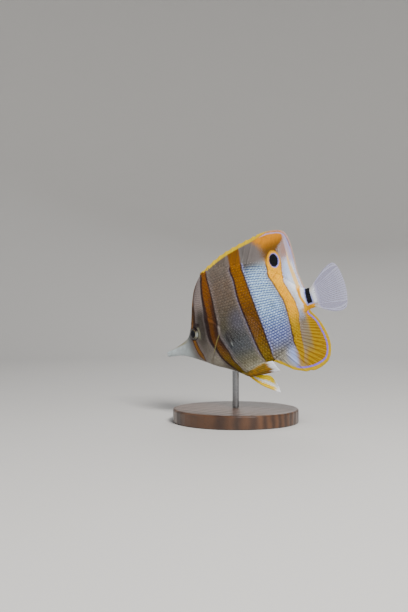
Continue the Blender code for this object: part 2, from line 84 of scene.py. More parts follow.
WIDEST_HEIGHT = [(0, -0.3), (20, -0.5), (30, 1.5), (45, 2), (60, 1), (80, 1.5), (100, 2), (126, 0.9)]
BACK_PINCH = 1.25
BELLY_PINCH = 1.1
BODY_END = 126.0
TABLE_STEP = 0.1        # spacing of the points between which curves are straight
HANDS = {-1: "left", 1: "right"}
OUTSIDE = -99.0         # distance inside a marking where there is none

# Skin
SKIN_DEPTH = 0.25       # how far the skin lies inside the solids, under the scales
SKIN_AROUND = 320
HEAD_STEP = 0.5
BODY_STEP = 1.0
NOSE_LENGTH = 0.7
NOSE_STEPS = 6

# Relief of the head
GILL_NAPE_X = 45.0
GILL_BULGE = 11.4
GILL_HEIGHT = 1.5
GILL_SPREAD = 9.5
GILL_THROAT = 7.0
THROAT_TOP = -9.0
THROAT_BOTTOM = -21.0
GILL_RISE = 0.45
LIP_LENGTH = 2.0
LIP_SWELL = 0.3
MOUTH_LENGTH = 3.4
MOUTH_OPENING = 0.5
MOUTH_HEIGHT = -0.3
EYE_X = 32.5
EYE_Z = 5.2
EYE_RADIUS = 4.6
EYE_DEPTH = 2.8
EYE_INSET = 1.2
PUPIL_RADIUS = 2.7
IRIS_RADIUS = 4.3
NOSTRILS = [(24.4, 4.2, 0.5), (26.2, 5.6, 0.6)]     # x, z, radius

# Scales
SCALE_SPACING = 1.95    # between rows
SCALE_PITCH = 2.3       # along a row
HEAD_SPACING = 1.15
HEAD_PITCH = 1.2
ROW_FLOW = 0.45         # 1 would squeeze all rows into the tail stalk, 0 keep them level
ARCH_X = 78.0           # the rows over the middle arch to this place
ARCH_FRONT = 0.19       # how much closer those rows lie ARCH_REACH before it
ARCH_REAR = 0.06        # and behind it
ARCH_REACH = 32.0
ARCH_ROWS = 8           # rows under the middle line over which the arch begins
SCALE_THICK = 0.09
SCALE_GRID = (6, 5)     # points along and across one scale
FULL_DEPTH = 77.0       # the body's greatest depth, where scales have their full size
SCALE_REACH = 1.65      # a scale's length as a share of the pitch
SCALE_SPREAD = 0.62     # its half-width as a share of the spacing
SCALE_ROUND = 0.34      # how far its sides stop short of its tip
SCALE_ROOT = 0.16       # depth of its root in the skin
SCALE_RISE = 0.42       # how much higher its tip stands
SCALE_CROWN = 0.07      # how much lower its sides lie
UNWRAP = 160.0          # width of skin that the OFBake map spans
PATCH = 0.003           # one scale's size on that map
COAT_SEEDS = {-1: 7, 1: 8}

# Fins, as in the solids
FIN_MEMBRANE = 0.1      # half-thickness
FIN_RIM = 0.04          # the same at the free edge
PECTORAL_RIM = 0.03
RIM_FROM = 0.985        # share of the way out where that edge begins
SOFT_TURN = 0.12        # share of a fin over which spines give way to soft rays
FLESH_SHARE = 0.1       # half-thickness of a fin's root as a share of the body's
FLESH_REACH = 7.0       # height over which it thins out
FIN_SINK = 1.8          # depth of the fin's root in the body
DORSAL_START = 46.0
DORSAL_END = 122.0
DORSAL_SPINES = 9
DORSAL_RAYS = 29
DORSAL_SPINE_SHARE = 0.47
DORSAL_OUTLINE = [(45.6, 44.6), (50, 46.3), (60, 49.6), (70, 51.7), (85, 53), (100, 53.3), (110.5, 51.8),
                  (118, 48.4), (120.8, 41.5), (121, 31), (120.6, 20), (122, 9.6)]
ANAL_START = 86.0
ANAL_END = 121.5
ANAL_SPINES = 3
ANAL_RAYS = 20
ANAL_SPINE_SHARE = 0.24
ANAL_OUTLINE = [(85.4, -30.2), (90, -32.6), (95, -36.4), (103, -41), (112, -43), (120, -42),
                (126, -38.6), (129.3, -31), (128.8, -22), (125.8, -13), (121.9, -6.9)]
TAIL_RAYS = 17
TAIL_OUTLINE = [(127, 7.3), (133, 11.8), (139.5, 15.6), (145.8, 16.8), (148.9, 11.5), (150, 2),
                (149, -7), (146, -12.6), (139.5, -12.6), (133, -9.6), (127, -5.7)]
TAIL_EDGE_SHARE = 0.33
PECTORAL_RAYS = 14
PECTORAL_ROOT = [(62.4, -4.8), (64.2, -12.2)]
PECTORAL_OUTLINE = [(79, 3.4), (85.4, 1.8), (89.2, -4), (88.8, -10), (84.4, -15.4), (77.6, -18.2),
                    (71, -17.6)]
PELVIC_RAYS = 5
PELVIC_ROOT = (60.2, 64.6)
LEFT_PELVIC = {
    "front": [(67, -34.6), (78, -36), (93, -37.4)],
    "rear": [(70, -30.8), (80, -29), (89.5, -30)],
    "spread": (4.4, 7.2),
}
RIGHT_PELVIC = {
    "front": [(65, -37.6), (71, -43.2), (80.4, -49.4)],
    "rear": [(70.6, -34.8), (77, -37.4), (79.8, -43.8)],
    "spread": (3.2, 6),
}

# Pose and stand, as in the solids
PITCH = math.radians(18)
ROD_X = 60.0
BASE_DROP = 34.0

# The photo's view, its place in metres
CAMERA_PLACE = (0.32201, -0.46173, 0.07724)
CAMERA_HEADING = math.radians(38)
CAMERA_LENS = 50
SENSOR_WIDTH = 36

# Markings in side view. A bar runs between two curves of x by height and ends at the heights of its
# reach. dark is the width of the dark line along its front and its rear edge and fringe the half-width
# of the pale fringe there, none if negative. Both fade above dark_top. swell widens the front line half
# way up, and blur softens the top of the bar
BARS = [
    {"front": [(-15, 33.4), (-10.7, 31), (-6, 30.1), (1, 29.6), (12, 30.8), (19, 32), (29, 34.2),
               (36, 38), (44, 45)],
     "rear": [(-15, 34.4), (-11, 34.9), (-6, 33.7), (0.7, 32.9), (11.5, 35.1), (18.5, 36.7), (29, 37.2),
              (36, 40.5), (44, 46)],
     "reach": (-14.5, 42), "dark": (0.4, 0.6), "dark_top": 60, "fringe": (-1.0, -1.0)},
    {"front": [(-33, 62), (-25.5, 55.8), (-20.8, 52.5), (-16, 50), (-11.3, 48.7), (-1.7, 46), (8, 46.6),
               (18, 47), (28, 46.8), (39, 47), (44, 46.2)],
     "rear": [(-33, 66), (-30.4, 63.3), (-25.7, 61.8), (-21, 59.3), (-16, 58.6), (-11.5, 57.2), (-2, 54.5),
              (8, 55.8), (18, 55.7), (28, 55), (39, 52.7), (44, 51.3)],
     "reach": (-40, 60), "dark": (1.6, 0.9), "dark_top": 41, "fringe": (-1.0, -0.3), "swell": 1.9},
    {"front": [(-33, 82), (-27.5, 81.4), (-21, 80.5), (-11.3, 79.7), (-1.6, 78.7), (8, 77.2), (18, 75.8),
               (28.5, 75), (39.4, 71.9), (52, 71.4)],
     "rear": [(-33, 86.6), (-27.3, 87.5), (-20.7, 88.6), (-11, 88.8), (-1.4, 88.3), (8.4, 87.3),
              (18.4, 85.8), (28.8, 83.6), (39.8, 80.8), (52, 81.8)],
     "reach": (-40, 60), "dark": (1.2, 0.8), "dark_top": 38, "fringe": (0.0, 0.4)},
    {"front": [(-40, 107.6), (-33.2, 106), (-27.4, 104.8), (-21.7, 104.1), (-16.5, 105.3), (-11.3, 106.6),
               (-1, 107.6), (4, 107.3), (9, 105.8), (14, 104.1), (19, 102.2), (24.3, 99.8), (34, 98.8),
               (44, 97.8), (49, 94), (53, 90)],
     "rear": [(-40, 106.5), (-34.9, 108), (-28.9, 110), (-23.6, 110.5), (-17.2, 111.3), (-11, 112.7),
              (-5.4, 115), (0.1, 115.1), (6, 113.7), (12.4, 111.4), (19.1, 109.4), (23.6, 109.5),
              (29.5, 110.7), (33.4, 110.9), (38.2, 110.6), (40.4, 112), (42.5, 115.4), (44.6, 117.4),
              (53, 118.5)],
     "reach": (-50, 60), "dark": (0.7, 0.0), "dark_top": 31, "fringe": (0.15, 0.0), "blur": 5},
]
LINE_CENTRE = [(-3, 121), (0, 119.9), (3.6, 118.8), (6.5, 118.4), (12, 117.8), (17.7, 117.1), (23.4, 116.4),
               (29, 116), (35.4, 116.6), (41, 116.6)]
LINE_HALF = [(-3, 0.7), (6.3, 0.9), (11, 1.2), (17, 1.4), (22.6, 1.2), (28, 0.8), (34, 0.2), (38, -0.4),
             (41, -0.6)]
GREY_REAR = [(-33, 116.2), (-26.6, 117.1), (-19.2, 117.8), (-12.6, 117.8), (-6, 117.4)]
SPOT_CENTRE = (105.6, 32.8)
SPOT_HALF = (3.3, 4.4)
SPOT_LEAN = math.radians(3)

# Colours, linear
SILVER = (0.52, 0.78, 1.0)
# painted shade: the silver darker low on the flank
SHADED_LOW_SILVER = (0.28, 0.34, 0.66)
# painted shade in the gaps between scales, partly their darker skin
SILVER_GAP_SHADE = (0.01, 0.05, 0.38)
# painted shade: the front flank grey instead of silver-white, darker down the side
GREY = (0.13, 0.092, 0.066)
SHADED_MIDDLE_GREY = (0.072, 0.062, 0.04)
SHADED_LOW_GREY = (0.05, 0.056, 0.065)
# painted shade in the gaps between scales, partly their darker skin
GREY_GAP_SHADE = (0.16, 0.15, 0.19)
CREAM = (0.36, 0.34, 0.25)
THROAT_GREY = (0.42, 0.39, 0.31)
# painted shade on the cheek, the gill cover and below them
SHADED_CHEEK_GREY = (0.045, 0.035, 0.028)
SHADED_LOW_CHEEK = (0.13, 0.11, 0.092)
NAPE_PINK = (0.27, 0.215, 0.2)
ORBIT_GREY = (0.17, 0.165, 0.11)
BLUE_SHEEN = (0.09, 0.09, 0.15)
MEMBRANE_GREY = (0.125, 0.118, 0.11)
PALE_EDGE = (0.25, 0.2, 0.2)
SNOUT_WHITE = (0.53, 0.6, 0.62)
SNOUT_OCHRE = (0.28, 0.22, 0.075)
PEARL = (0.88, 0.92, 1.0)
PINK = (0.46, 0.27, 0.27)
BLUSH = (0.42, 0.24, 0.19)
STRIPE_BLUE = (0.45, 0.6, 1.0)
PEACH = (1.0, 0.66, 0.26)
LILAC = (0.42, 0.3, 0.42)
PEARL_BLUE = (0.32, 0.45, 0.95)
TAN = (0.16, 0.148, 0.09)
LOW_PEARL = (0.36, 0.34, 0.28)
OLIVE_TAN = (0.25, 0.19, 0.075)
LAVENDER = (0.33, 0.37, 0.8)
BLUE_LINE = (0.25, 0.28, 0.85)
VIOLET = (0.2, 0.12, 0.85)
# the front bars darker than the rear one, partly as painted shade
EYE_ORANGE = (0.24, 0.088, 0.001)
FRONT_ORANGE = (0.19, 0.058, 0.001)
MIDDLE_ORANGE = (0.22, 0.082, 0.002)
# painted shade down the bars
SHADED_COPPER = (0.03, 0.012, 0.001)
SHADED_LOW_ORANGE = (0.15, 0.1, 0.0003)
REAR_ORANGE = (0.95, 0.43, 0.0)
PATCH_BROWN = (0.15, 0.066, 0.006)
PATCH_ORANGE = (0.7, 0.26, 0.004)
# partly painted shade: darker orange low on the golden bar and the anal fin
SHADED_LOW_GOLD = (0.41, 0.245, 0.0)
RIM_GOLD = (0.52, 0.34, 0.0)
GOLD = (0.66, 0.44, 0.0)
BROWN = (0.014, 0.005, 0.006)
# painted shade where the pectoral fin meets the flank
AXIL_SHADE = (0.035, 0.03, 0.033)
MOSS = (0.31, 0.29, 0.09)
BLACK = (0.003, 0.003, 0.005)
RAY_BROWN = (0.45, 0.3, 0.2)
RAY_GAP_BROWN = (0.19, 0.12, 0.045)
MOTTLE_OLIVE = (0.13, 0.11, 0.01)
IRIS_GOLD = (0.16, 0.14, 0.07)
IRIS_GREY = (0.09, 0.1, 0.1)
IRIS_GLINT = (0.24, 0.26, 0.25)
PUPIL_RING = (0.22, 0.18, 0.07)
EYE_RIM = (0.03, 0.025, 0.022)
WALNUT = (0.04, 0.016, 0.007)
PALE_WALNUT = (0.11, 0.046, 0.018)
DARK_WALNUT = (0.021, 0.009, 0.005)
PORE_BROWN = (0.007, 0.003, 0.002)
STEEL = (0.2, 0.204, 0.215)
PALE_STEEL = (0.31, 0.315, 0.325)
STAGE_GREY = (0.49, 0.482, 0.468)


def ease(value):
    """0 below 0, 1 above 1 and a smooth step between."""
    t = np.clip(value, 0.0, 1.0)
    return t * t * (3 - 2 * t)


def bell(value):
    return np.exp(-value * value)


def smooth_curve(points, blur=0.0):
    """A curve through the points made of monotone cubic pieces, blurred over some millimetres."""
    knots, heights = np.array(points, float).T
    widths = np.diff(knots)
    steps = np.diff(heights) / widths
    before, after = steps[:-1], steps[1:]
    same_way = before * after > 0
    total = np.where(same_way, before + after, 1.0)
    slopes = np.concatenate([steps[:1], np.where(same_way, 2 * before * after / total, 0.0), steps[-1:]])
    fine = np.arange(knots[0], knots[-1] + TABLE_STEP / 2, TABLE_STEP)
    k = np.clip(np.searchsorted(knots, fine, "right") - 1, 0, len(widths) - 1)
    t = (fine - knots[k]) / widths[k]
    curve = ((1 + 2 * t) * (1 - t) ** 2 * heights[k] + t * (1 - t) ** 2 * widths[k] * slopes[k]
             + t * t * (3 - 2 * t) * heights[k + 1] + t * t * (t - 1) * widths[k] * slopes[k + 1])
    if blur:
        reach = round(3 * blur / TABLE_STEP)
        kernel = bell(np.arange(-reach, reach + 1) * TABLE_STEP / blur)
        padded = np.pad(curve, reach, "reflect", reflect_type="odd")
        curve = np.convolve(padded, kernel / kernel.sum(), "valid")
    return lambda x: np.interp(x, fine, curve)


def smooth_path(points):
    """A Catmull-Rom path through the points, read by its share of length from 0 to 1."""
    knots = np.array(points, float)
    knots = np.vstack([2 * knots[0] - knots[1], knots, 2 * knots[-1] - knots[-2]])
    t = np.linspace(0, 1, 16, endpoint=False)[:, None]
    pieces = [0.5 * (2 * b + (c - a) * t + (2 * a - 5 * b + 4 * c - d) * t ** 2
                     + (3 * b - a - 3 * c + d) * t ** 3)
              for a, b, c, d in zip(knots, knots[1:], knots[2:], knots[3:])]
    fine = np.vstack(pieces + [knots[-2:-1]])
    lengths = np.concatenate([[0], np.cumsum(np.linalg.norm(np.diff(fine, axis=0), axis=1))])
    share = lengths / lengths[-1]
    return lambda s: np.stack([np.interp(s, share, column) for column in fine.T], -1)


back = smooth_curve(BACK, 0.9)
belly = smooth_curve(BELLY, 0.9)
half_width = smooth_curve(HALF_WIDTH, 1.5)
waist = smooth_curve(WIDEST_HEIGHT, 2.0)
bar_curves = [(smooth_curve(bar["front"], 0.6), smooth_curve(bar["rear"], 0.6)) for bar in BARS]
line_centre = smooth_curve(LINE_CENTRE, 0.6)
line_half = smooth_curve(LINE_HALF, 0.6)
grey_rear = smooth_curve(GREY_REAR, 0.6)


def gill_edge(z):
    """Distance back from the snout's tip to the gill cover's rear edge at height z."""
    forward = GILL_THROAT * ease((THROAT_TOP - z) / (THROAT_TOP - THROAT_BOTTOM))
    return GILL_NAPE_X + GILL_BULGE * bell((z - GILL_HEIGHT) / GILL_SPREAD) - forward


def relief(x, z):
    """How far the skin stands out from the plain body: gill cover, cheek, eye rim, nostrils, lips."""
    behind = x - gill_edge(z)
    cover_reach = ease((z + 22) / 7) * ease((16 - z) / 7)
    cover = GILL_RISE * bell(np.minimum(behind + 1.2, 0) / 4.5) * ease((0.3 - behind) / 0.6)
    groove = -0.3 * bell((behind - 0.75) / 0.6)
    height = (cover + groove) * cover_reach

    cheek_edge = 41.5 + 2.5 * bell((z + 2) / 7) - 9 * ease((-8 - z) / 9)
    cheek = x - cheek_edge
    cheek_reach = ease((z + 18) / 5) * ease((8 - z) / 6)
    height += 0.16 * bell(np.minimum(cheek + 0.8, 0) / 3) * ease((0.3 - cheek) / 0.6) * cheek_reach

    from_eye = np.hypot(x - EYE_X, z - EYE_Z)
    height += 0.32 * bell((from_eye - 5.2) / 0.8) - 1.7 * ease((4.7 - from_eye) / 1.2)
    for nostril_x, nostril_z, radius in NOSTRILS:
        away = np.hypot(x - nostril_x, z - nostril_z) / radius
        height += 0.14 * bell((away - 1.5) / 0.5) - 0.55 * bell(away / 0.8)
    height += LIP_SWELL * np.sin(np.pi * np.clip(x / LIP_LENGTH, 0, 1))
    return height


def body_half(x, z):
    """Half-width of the skinned body at a point of its side view, 0 outside its outline."""
    level = waist(x)
    up = z > level
    share = np.where(up, (z - level) / (back(x) - level), (level - z) / (level - belly(x)))
    pinch = np.where(up, BACK_PINCH, BELLY_PINCH)
    return (half_width(x) - SKIN_DEPTH) * np.clip(1 - share ** 2, 0, None) ** (pinch / 2)


def root_flesh(x, height):
    """Half-thickness of a median fin's root at a height over the back, or below the belly."""
    root = FLESH_SHARE * half_width(x)
    return FIN_MEMBRANE + (root - FIN_MEMBRANE) * (1 - ease(height / FLESH_REACH))


def flesh_half(x, z):
    """Half-width of body and fin roots together, without relief."""
    body = body_half(x, z)
    over = z - back(x)
    under = belly(x) - z
    in_dorsal = (x > DORSAL_START + 1) & (x < DORSAL_END - 2) & (over > -FIN_SINK)
    in_anal = (x > ANAL_START + 1) & (x < ANAL_END - 2) & (under > -FIN_SINK)
    root = np.where(in_dorsal, root_flesh(x, over), 0) + np.where(in_anal, root_flesh(x, under), 0)
    return (body ** 4 + root ** 4) ** 0.25


def surface(x, z, side):
    """Points on the skin's flank at places of the side view, and the outward directions there."""
    step = 0.15

    def half(x, z):
        return flesh_half(x, z) + relief(x, z)

    y = half(x, z)
    slope_x = (half(x + step, z) - half(x - step, z)) / (2 * step)
    slope_z = (half(x, z + step) - half(x, z - step)) / (2 * step)
    normal = np.stack([-slope_x, np.full_like(y, side), -slope_z], -1)
    normal /= np.linalg.norm(normal, axis=-1, keepdims=True)
    return np.stack([x, side * y, z], -1), normal


def within(value, *limits):
    """The value where all limits are positive, far outside elsewhere."""
    return np.where(np.min(limits, axis=0) > 0, value, OUTSIDE)


def bar_fields(x, z):
    """Distance inside the nearest bar, and the dark edge and pale fringe that this bar has there."""
    bars = np.full_like(x, OUTSIDE)
    dark = np.full_like(x, OUTSIDE)
    fringe = np.full_like(x, OUTSIDE)
    for bar, (front, rear) in zip(BARS, bar_curves):
        low, high = bar["reach"]
        blur, swell = bar.get("blur", 0), bar.get("swell", 0)
        from_front = (x - front(z)) / (1 + blur * ease((z - 31) / 9))
        from_rear = (rear(z) - x) / (1 + 0.5 * blur * ease((z - 32) / 6))
        inside = np.minimum(np.minimum(from_front, from_rear), np.minimum(z - low, high - z))
        nearest = inside > bars
        at_front = from_front < from_rear
        faded = 2.5 * ease((z - bar["dark_top"]) / 8) + 2.0 * ease((-22 - z) / 14)
        front_dark = bar["dark"][0] + swell * bell((z - 7) / 14)
        dark = np.where(nearest, np.where(at_front, front_dark, bar["dark"][1]) / 2 - faded, dark)
        fringe = np.where(nearest, np.where(at_front, *bar["fringe"]) - faded, fringe)
        bars = np.where(nearest, inside, bars)
    return {"bars": bars, "dark": bars - 0.2, "dark_half": dark,
            "fringe": bars + dark + fringe, "fringe_half": fringe}


def body_markings(x, z):
    """Signed distances in millimetres into the markings, at places of the side view. Those of thin
    lines are distances from the line's middle, and come with its half-width."""
    fields = bar_fields(x, z)
    behind_bars = x - bar_curves[3][1](z)
    before_line = line_centre(z) - line_half(z) - x
    front, rear = bar_curves[2]
    fields["behind"] = x - (front(z) + rear(z)) / 2
    fields["stripe"] = np.minimum(np.minimum(behind_bars, before_line), np.minimum(z + 4, (30 - z) / 5))
    fields["stripe_top"] = np.minimum(fields["stripe"], (z - 17) / 5)
    fields["margin"] = np.minimum(x - line_centre(z), z + 3)
    fields["margin_top"] = np.minimum(fields["margin"], (z - 27) / 4)
    fields["blush"] = np.minimum((behind_bars + 1) / (1 + 2 * ease((z - 30) / 8)), (z - 24) / 4)
    fields["line"] = x - line_centre(z)
    fields["line_half"] = within(line_half(z), z + 3, 42 - z)
    fields["line_low"] = np.minimum(line_half(z) - np.abs(fields["line"]), np.minimum(z + 3, (10 - z) / 3))

    gold = np.maximum(x - grey_rear(z), np.minimum((-29 - z) / 2.5, x - 104))
    in_anal = (z < belly(x) + 0.5) & (x > ANAL_START)
    fields["gold"] = np.where(in_anal | (x > 113), np.minimum(gold, -4 - z), OUTSIDE)
    fields["pearl"] = 5 * (1 - np.hypot((x - 103.5) / 5.5, (z + 30) / 6.5))

    turn_cos, turn_sin = math.cos(SPOT_LEAN), math.sin(SPOT_LEAN)
    dx, dz = x - SPOT_CENTRE[0], z - SPOT_CENTRE[1]
    along, beside = dz * turn_cos - dx * turn_sin, dx * turn_cos + dz * turn_sin
    fields["spot"] = (1 - np.hypot(beside / SPOT_HALF[0], along / SPOT_HALF[1])) * SPOT_HALF[0]
    ring = np.hypot((beside - 0.4) / (SPOT_HALF[0] + 0.5), (along + 0.15) / (SPOT_HALF[1] + 0.5))
    fields["spot_ring"] = (1 - ring) * SPOT_HALF[0]

    stalk_front, stalk_rear = 122.4, 125.9
    fields["stalk"] = np.minimum(np.minimum(x - stalk_front, stalk_rear - x), np.minimum(z + 2.4, 9 - z))
    fields["stalk_gold"] = np.minimum(np.minimum(x - 119, stalk_rear + 1 - x), -2.0 - z)
    fields["gill"] = x - gill_edge(z) - 0.1
    fields["gill_half"] = within(0.3, z + 12, -2 - z)
    # painted shade where the pectoral fin meets the flank
    fields["axil_shade"] = 2 * (1 - np.hypot((x - 62.2) / 2.4, (z + 5) / 3.2))
    # painted shade along the rear side of the second bar
    rear_edge = bar_curves[1][1](z) - 1.3
    fields["bar_shade"] = np.minimum(1.6 - np.abs(x - rear_edge), np.minimum((22 - z) / 6, (z + 15) / 4))
    fields["sheen"] = 5 * (1 - np.hypot((x - 73) / 7, (z - 3) / 7))
    brow = 1.5 - np.abs(x - EYE_X - 1.2 - 0.1 * (z - EYE_Z))
    fields["brow"] = np.minimum(brow, np.minimum(z - EYE_Z - 2, 24 - z))
    fields["orbit"] = 1.6 * (1 - np.hypot((x - EYE_X - 4.6) / 1.7, (z - EYE_Z + 0.8) / 4.4))
    fields["arc"] = 1.5 * (1 - np.hypot((x - EYE_X - 3.6) / 3.4, (z - EYE_Z - 4.6) / 1.7))
    return fields


def margin_markings(x, z, edge):
    """Markings along the free edges of the median fins, edge being the distance to it."""
    dorsal = z - back(x) - 0.3
    anal = belly(x) - z
    rear = ease((x - 92) / 14)
    thin = np.full_like(x, 0.35)
    anal_line = 2.0 + 0.5 * ease((-13 - z) / 9) + 0.6 * bell((x - 114) / 8) * ease((-33 - z) / 5)
    return {
        "yellow": within(2.9 * (1 - ease((x - 90) / 22)) - edge, dorsal),
        "pale": edge - 3.2 + 1.4 * rear,
        "pale_half": within(thin - 1.2 * (1 - ease((x - 94) / 10)), dorsal),
        "pink": within(0.9 * rear - edge, dorsal),
        "amber": edge - 1.2,
        "amber_half": within(thin, dorsal, x - 92, z - 37),
        "rim": within(anal_line - 0.5 - edge, anal),
        "lavender": edge - anal_line,
        "lavender_half": within(thin + 0.1, anal, x - 101),
    }


# Markings in the order in which they are painted: field, how far it is widened, softness, cover and
# colour. A line is painted by its field and its half-width
BODY_PAINT = [
    ("sheen", 0, 4, 0.5, BLUE_SHEEN),
    ("pearl", 0, 3, 0.7, PEARL_BLUE),
    ("blush", 0, 1.5, 1, BLUSH),
    ("stripe", 0, 0.7, 1, PEARL),
    ("stripe_top", 0, 1.2, 0.8, STRIPE_BLUE),
    ("margin", 0, 0.6, 1, PEARL),
    ("gold", 0, 1.6, 1, "orange"),
    ("bars", 2.4, 1.8, 0.35, PALE_EDGE),
    ("fringe", 0, 0.4, 0.7, LAVENDER),
    ("bars", 0, 0.6, 1, "orange"),
    # painted shade along the rear side of the second bar
    ("bar_shade", 0, 1.4, 0.75, BROWN),
    ("dark", 0.1, 0.6, 0.92, BROWN),
    ("brow", 0, 1, 0.8, BROWN),
    ("orbit", 0, 0.5, 0.9, ORBIT_GREY),
    ("arc", 0, 0.5, 0.9, BROWN),
    # painted shade where the pectoral fin meets the flank
    ("axil_shade", 0, 1.5, 0.8, AXIL_SHADE),
    ("gill", 0, 0.3, 0.55, MOSS),
    ("spot", 1.6, 0.5, 0.8, REAR_ORANGE),
    ("margin_top", 0, 1, 0.8, LILAC),
    ("line", 0, 0.5, 1, PEACH),
    ("line_low", 0, 0.6, 1, REAR_ORANGE),
    ("spot_ring", 0, 0.3, 0.95, BLUE_LINE),
    ("spot", 0, 0.35, 1, BLACK),
    ("stalk_gold", 0, 0.5, 1, "orange"),
    ("stalk", 0.8, 0.4, 1, LAVENDER),
    ("stalk", 0, 0.35, 1, BLACK),
]
MARGIN_PAINT = [
    ("amber", 0, 0.3, 0.8, "orange"),
    ("pink", 0, 0.5, 0.8, PINK),
    ("yellow", 0, 0.5, 1, GOLD),
    ("pale", 0, 0.35, 0.8, LAVENDER),
    ("rim", 0, 0.5, 1, RIM_GOLD),
    ("lavender", 0, 0.3, 0.95, VIOLET),
]
LINES = {"dark", "fringe", "gill", "line", "amber", "pale", "lavender"}


def fish_pose():
    """The fish's frame in metres, placed from the stand's solids."""
    rod_low, rod_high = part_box("stand_rod")
    base_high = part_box("stand_base")[1]
    tip = Vector(((rod_low[0] + rod_high[0]) / 2 - ROD_X * MM, 0, base_high[2] + BASE_DROP * MM))
    return Matrix.Translation(tip) @ Matrix.Rotation(-PITCH, 4, "Y")


def outward(points, faces):
    """The faces of a closed surface, turned round if they enclose a negative volume."""
    corners = points[faces]
    volume = 0.0
    for k in range(1, faces.shape[1] - 1):
        volume += np.einsum("ij,ij->", corners[:, 0], np.cross(corners[:, k], corners[:, k + 1]))
    return faces if volume > 0 else faces[:, ::-1]


def make_mesh(name, points, faces, fields=None):
    """A mesh from points of the fish's frame, which keeps them and its fields as attributes."""
    mesh = bpy.data.meshes.new(name)
    rotation, offset = np.array(POSE.to_3x3()), np.array(POSE.translation)
    mesh.from_pydata(points * MM @ rotation.T + offset, [], faces)
    mesh.shade_smooth()
    store(mesh, "fish", points)
    for field, values in (fields or {}).items():
        store(mesh, field, np.broadcast_to(values, len(points)))
    return mesh


def store(mesh, name, values):
    """Keep numbers or vectors as an attribute of the mesh's vertices."""
    vectors = np.ndim(values) == 2
    attribute = mesh.attributes.new(name, "FLOAT_VECTOR" if vectors else "FLOAT", "POINT")
    attribute.data.foreach_set("vector" if vectors else "value", np.asarray(values, np.float32).ravel())


def make_piece(name, mesh, material, slot, *nodes):
    """An object of the mesh that rides on the part and takes the place of the given solids."""
    mesh.materials.append(material)
    piece = bpy.data.objects.new(name, mesh)
    bpy.context.collection.objects.link(piece)
    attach(piece, "root")
    if nodes:
        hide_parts(*nodes)
    return piece


def sheet_faces(columns, rows):
    """Quads of a closed sheet: columns by rows of points on its front, then the same on its back."""
    index = np.arange(columns * rows).reshape(columns, rows)
    front = np.stack([index[:-1, :-1], index[1:, :-1], index[1:, 1:], index[:-1, 1:]], -1).reshape(-1, 4)
    border = np.concatenate([index[0, :], index[1:, -1], index[-1, -2::-1], index[-2:0:-1, 0]])
    following = np.roll(border, -1)
    rim = np.stack([border, following, following + index.size, border + index.size], -1)
    return np.concatenate([front, front[:, ::-1] + index.size, rim])


class Nodes:
    """Short calls for building a material's node tree round its Principled shader."""

    def __init__(self, name):
        self.material = bpy.data.materials.new(name)
        self.material.use_nodes = True
        self.tree = self.material.node_tree
        self.shader = self.tree.nodes["Principled BSDF"]

    def feed(self, socket, value):
        if isinstance(value, bpy.types.NodeSocket):
            self.tree.links.new(value, socket)
        elif isinstance(value, tuple) and socket.type == "RGBA":
            socket.default_value = (*value, 1)
        else:
            socket.default_value = value

    def set(self, **values):
        """Give the shader its inputs, named with _ for each space."""
        for name, value in values.items():
            self.feed(self.shader.inputs[name.replace("_", " ")], value)
        return self.material

    def node(self, kind, inputs=(), **settings):
        made = self.tree.nodes.new("ShaderNode" + kind)
        for key, value in settings.items():
            setattr(made, key, value)
        for key, value in dict(inputs).items():
            self.feed(made.inputs[key], value)
        return made

    def field(self, name):
        return self.node("Attribute", attribute_name=name).outputs["Fac"]

    def place(self, name="fish"):
        return self.node("Attribute", attribute_name=name).outputs["Vector"]

    def parts(self, vector):
        return self.node("SeparateXYZ", {"Vector": vector}).outputs

    def math(self, operation, first, second=0.0):
        return self.node("Math", {0: first, 1: second}, operation=operation).outputs[0]

    def times(self, first, second):
        return self.math("MULTIPLY", first, second)

    def ramp(self, value, low, high, start=0.0, end=1.0):
        inputs = {"Value": value, "From Min": low, "From Max": high, "To Min": start, "To Max": end}
        return self.node("MapRange", inputs, interpolation_type="SMOOTHSTEP").outputs["Result"]

    def fade(self, value, low, high):
        """1 up to low, 0 from high."""
        return self.ramp(value, low, high, 1.0, 0.0)

    def mix(self, share, first, second, blend="MIX"):
        made = self.node("Mix", {0: share, 6: first, 7: second}, data_type="RGBA", blend_type=blend)
        return made.outputs[2]

    def noise(self, scale, detail=2.0, place=None):
        inputs = {"Vector": place or self.place(), "Scale": scale, "Detail": detail}
        return self.node("TexNoise", inputs).outputs["Fac"]

    def bump(self, height, distance):
        return self.node("Bump", {"Height": height, "Distance": distance}).outputs["Normal"]


def orange_colour(nodes):
    """Copper on the middle bars, orange under the eye, golden towards the tail and the belly. The front
    bars are darker than the rear one, partly as painted shade; painted shade makes the bars darker and
    browner down them, and partly the darker orange low on the golden bar."""
    x, _, z = nodes.parts(nodes.place())
    # the front bars darker than the rear one, partly as painted shade
    copper = nodes.mix(nodes.ramp(x, 33, 44), EYE_ORANGE, FRONT_ORANGE)
    copper = nodes.mix(nodes.ramp(x, 58, 74), copper, MIDDLE_ORANGE)
    # painted shade: the bars darker and browner down them
    shade = nodes.times(nodes.ramp(z, 4, 24, 0.5, 0), nodes.ramp(x, 38, 46))
    copper = nodes.mix(shade, copper, SHADED_COPPER)
    copper = nodes.mix(nodes.ramp(z, -30, -4, 0.9, 0), copper, SHADED_LOW_ORANGE)
    patch = nodes.mix(nodes.ramp(z, 40, 49), PATCH_BROWN, PATCH_ORANGE)
    golden = nodes.mix(nodes.ramp(z, 30, 38), REAR_ORANGE, patch)
    # partly painted shade: darker orange low on the golden bar and the anal fin
    golden = nodes.mix(nodes.fade(z, -14, 1), golden, SHADED_LOW_GOLD)
    colour = nodes.mix(nodes.ramp(x, 88, 98), copper, golden)
    return nodes.mix(nodes.ramp(nodes.noise(0.35, 3), 0.4, 0.75, 0, 0.3), colour, FRONT_ORANGE)


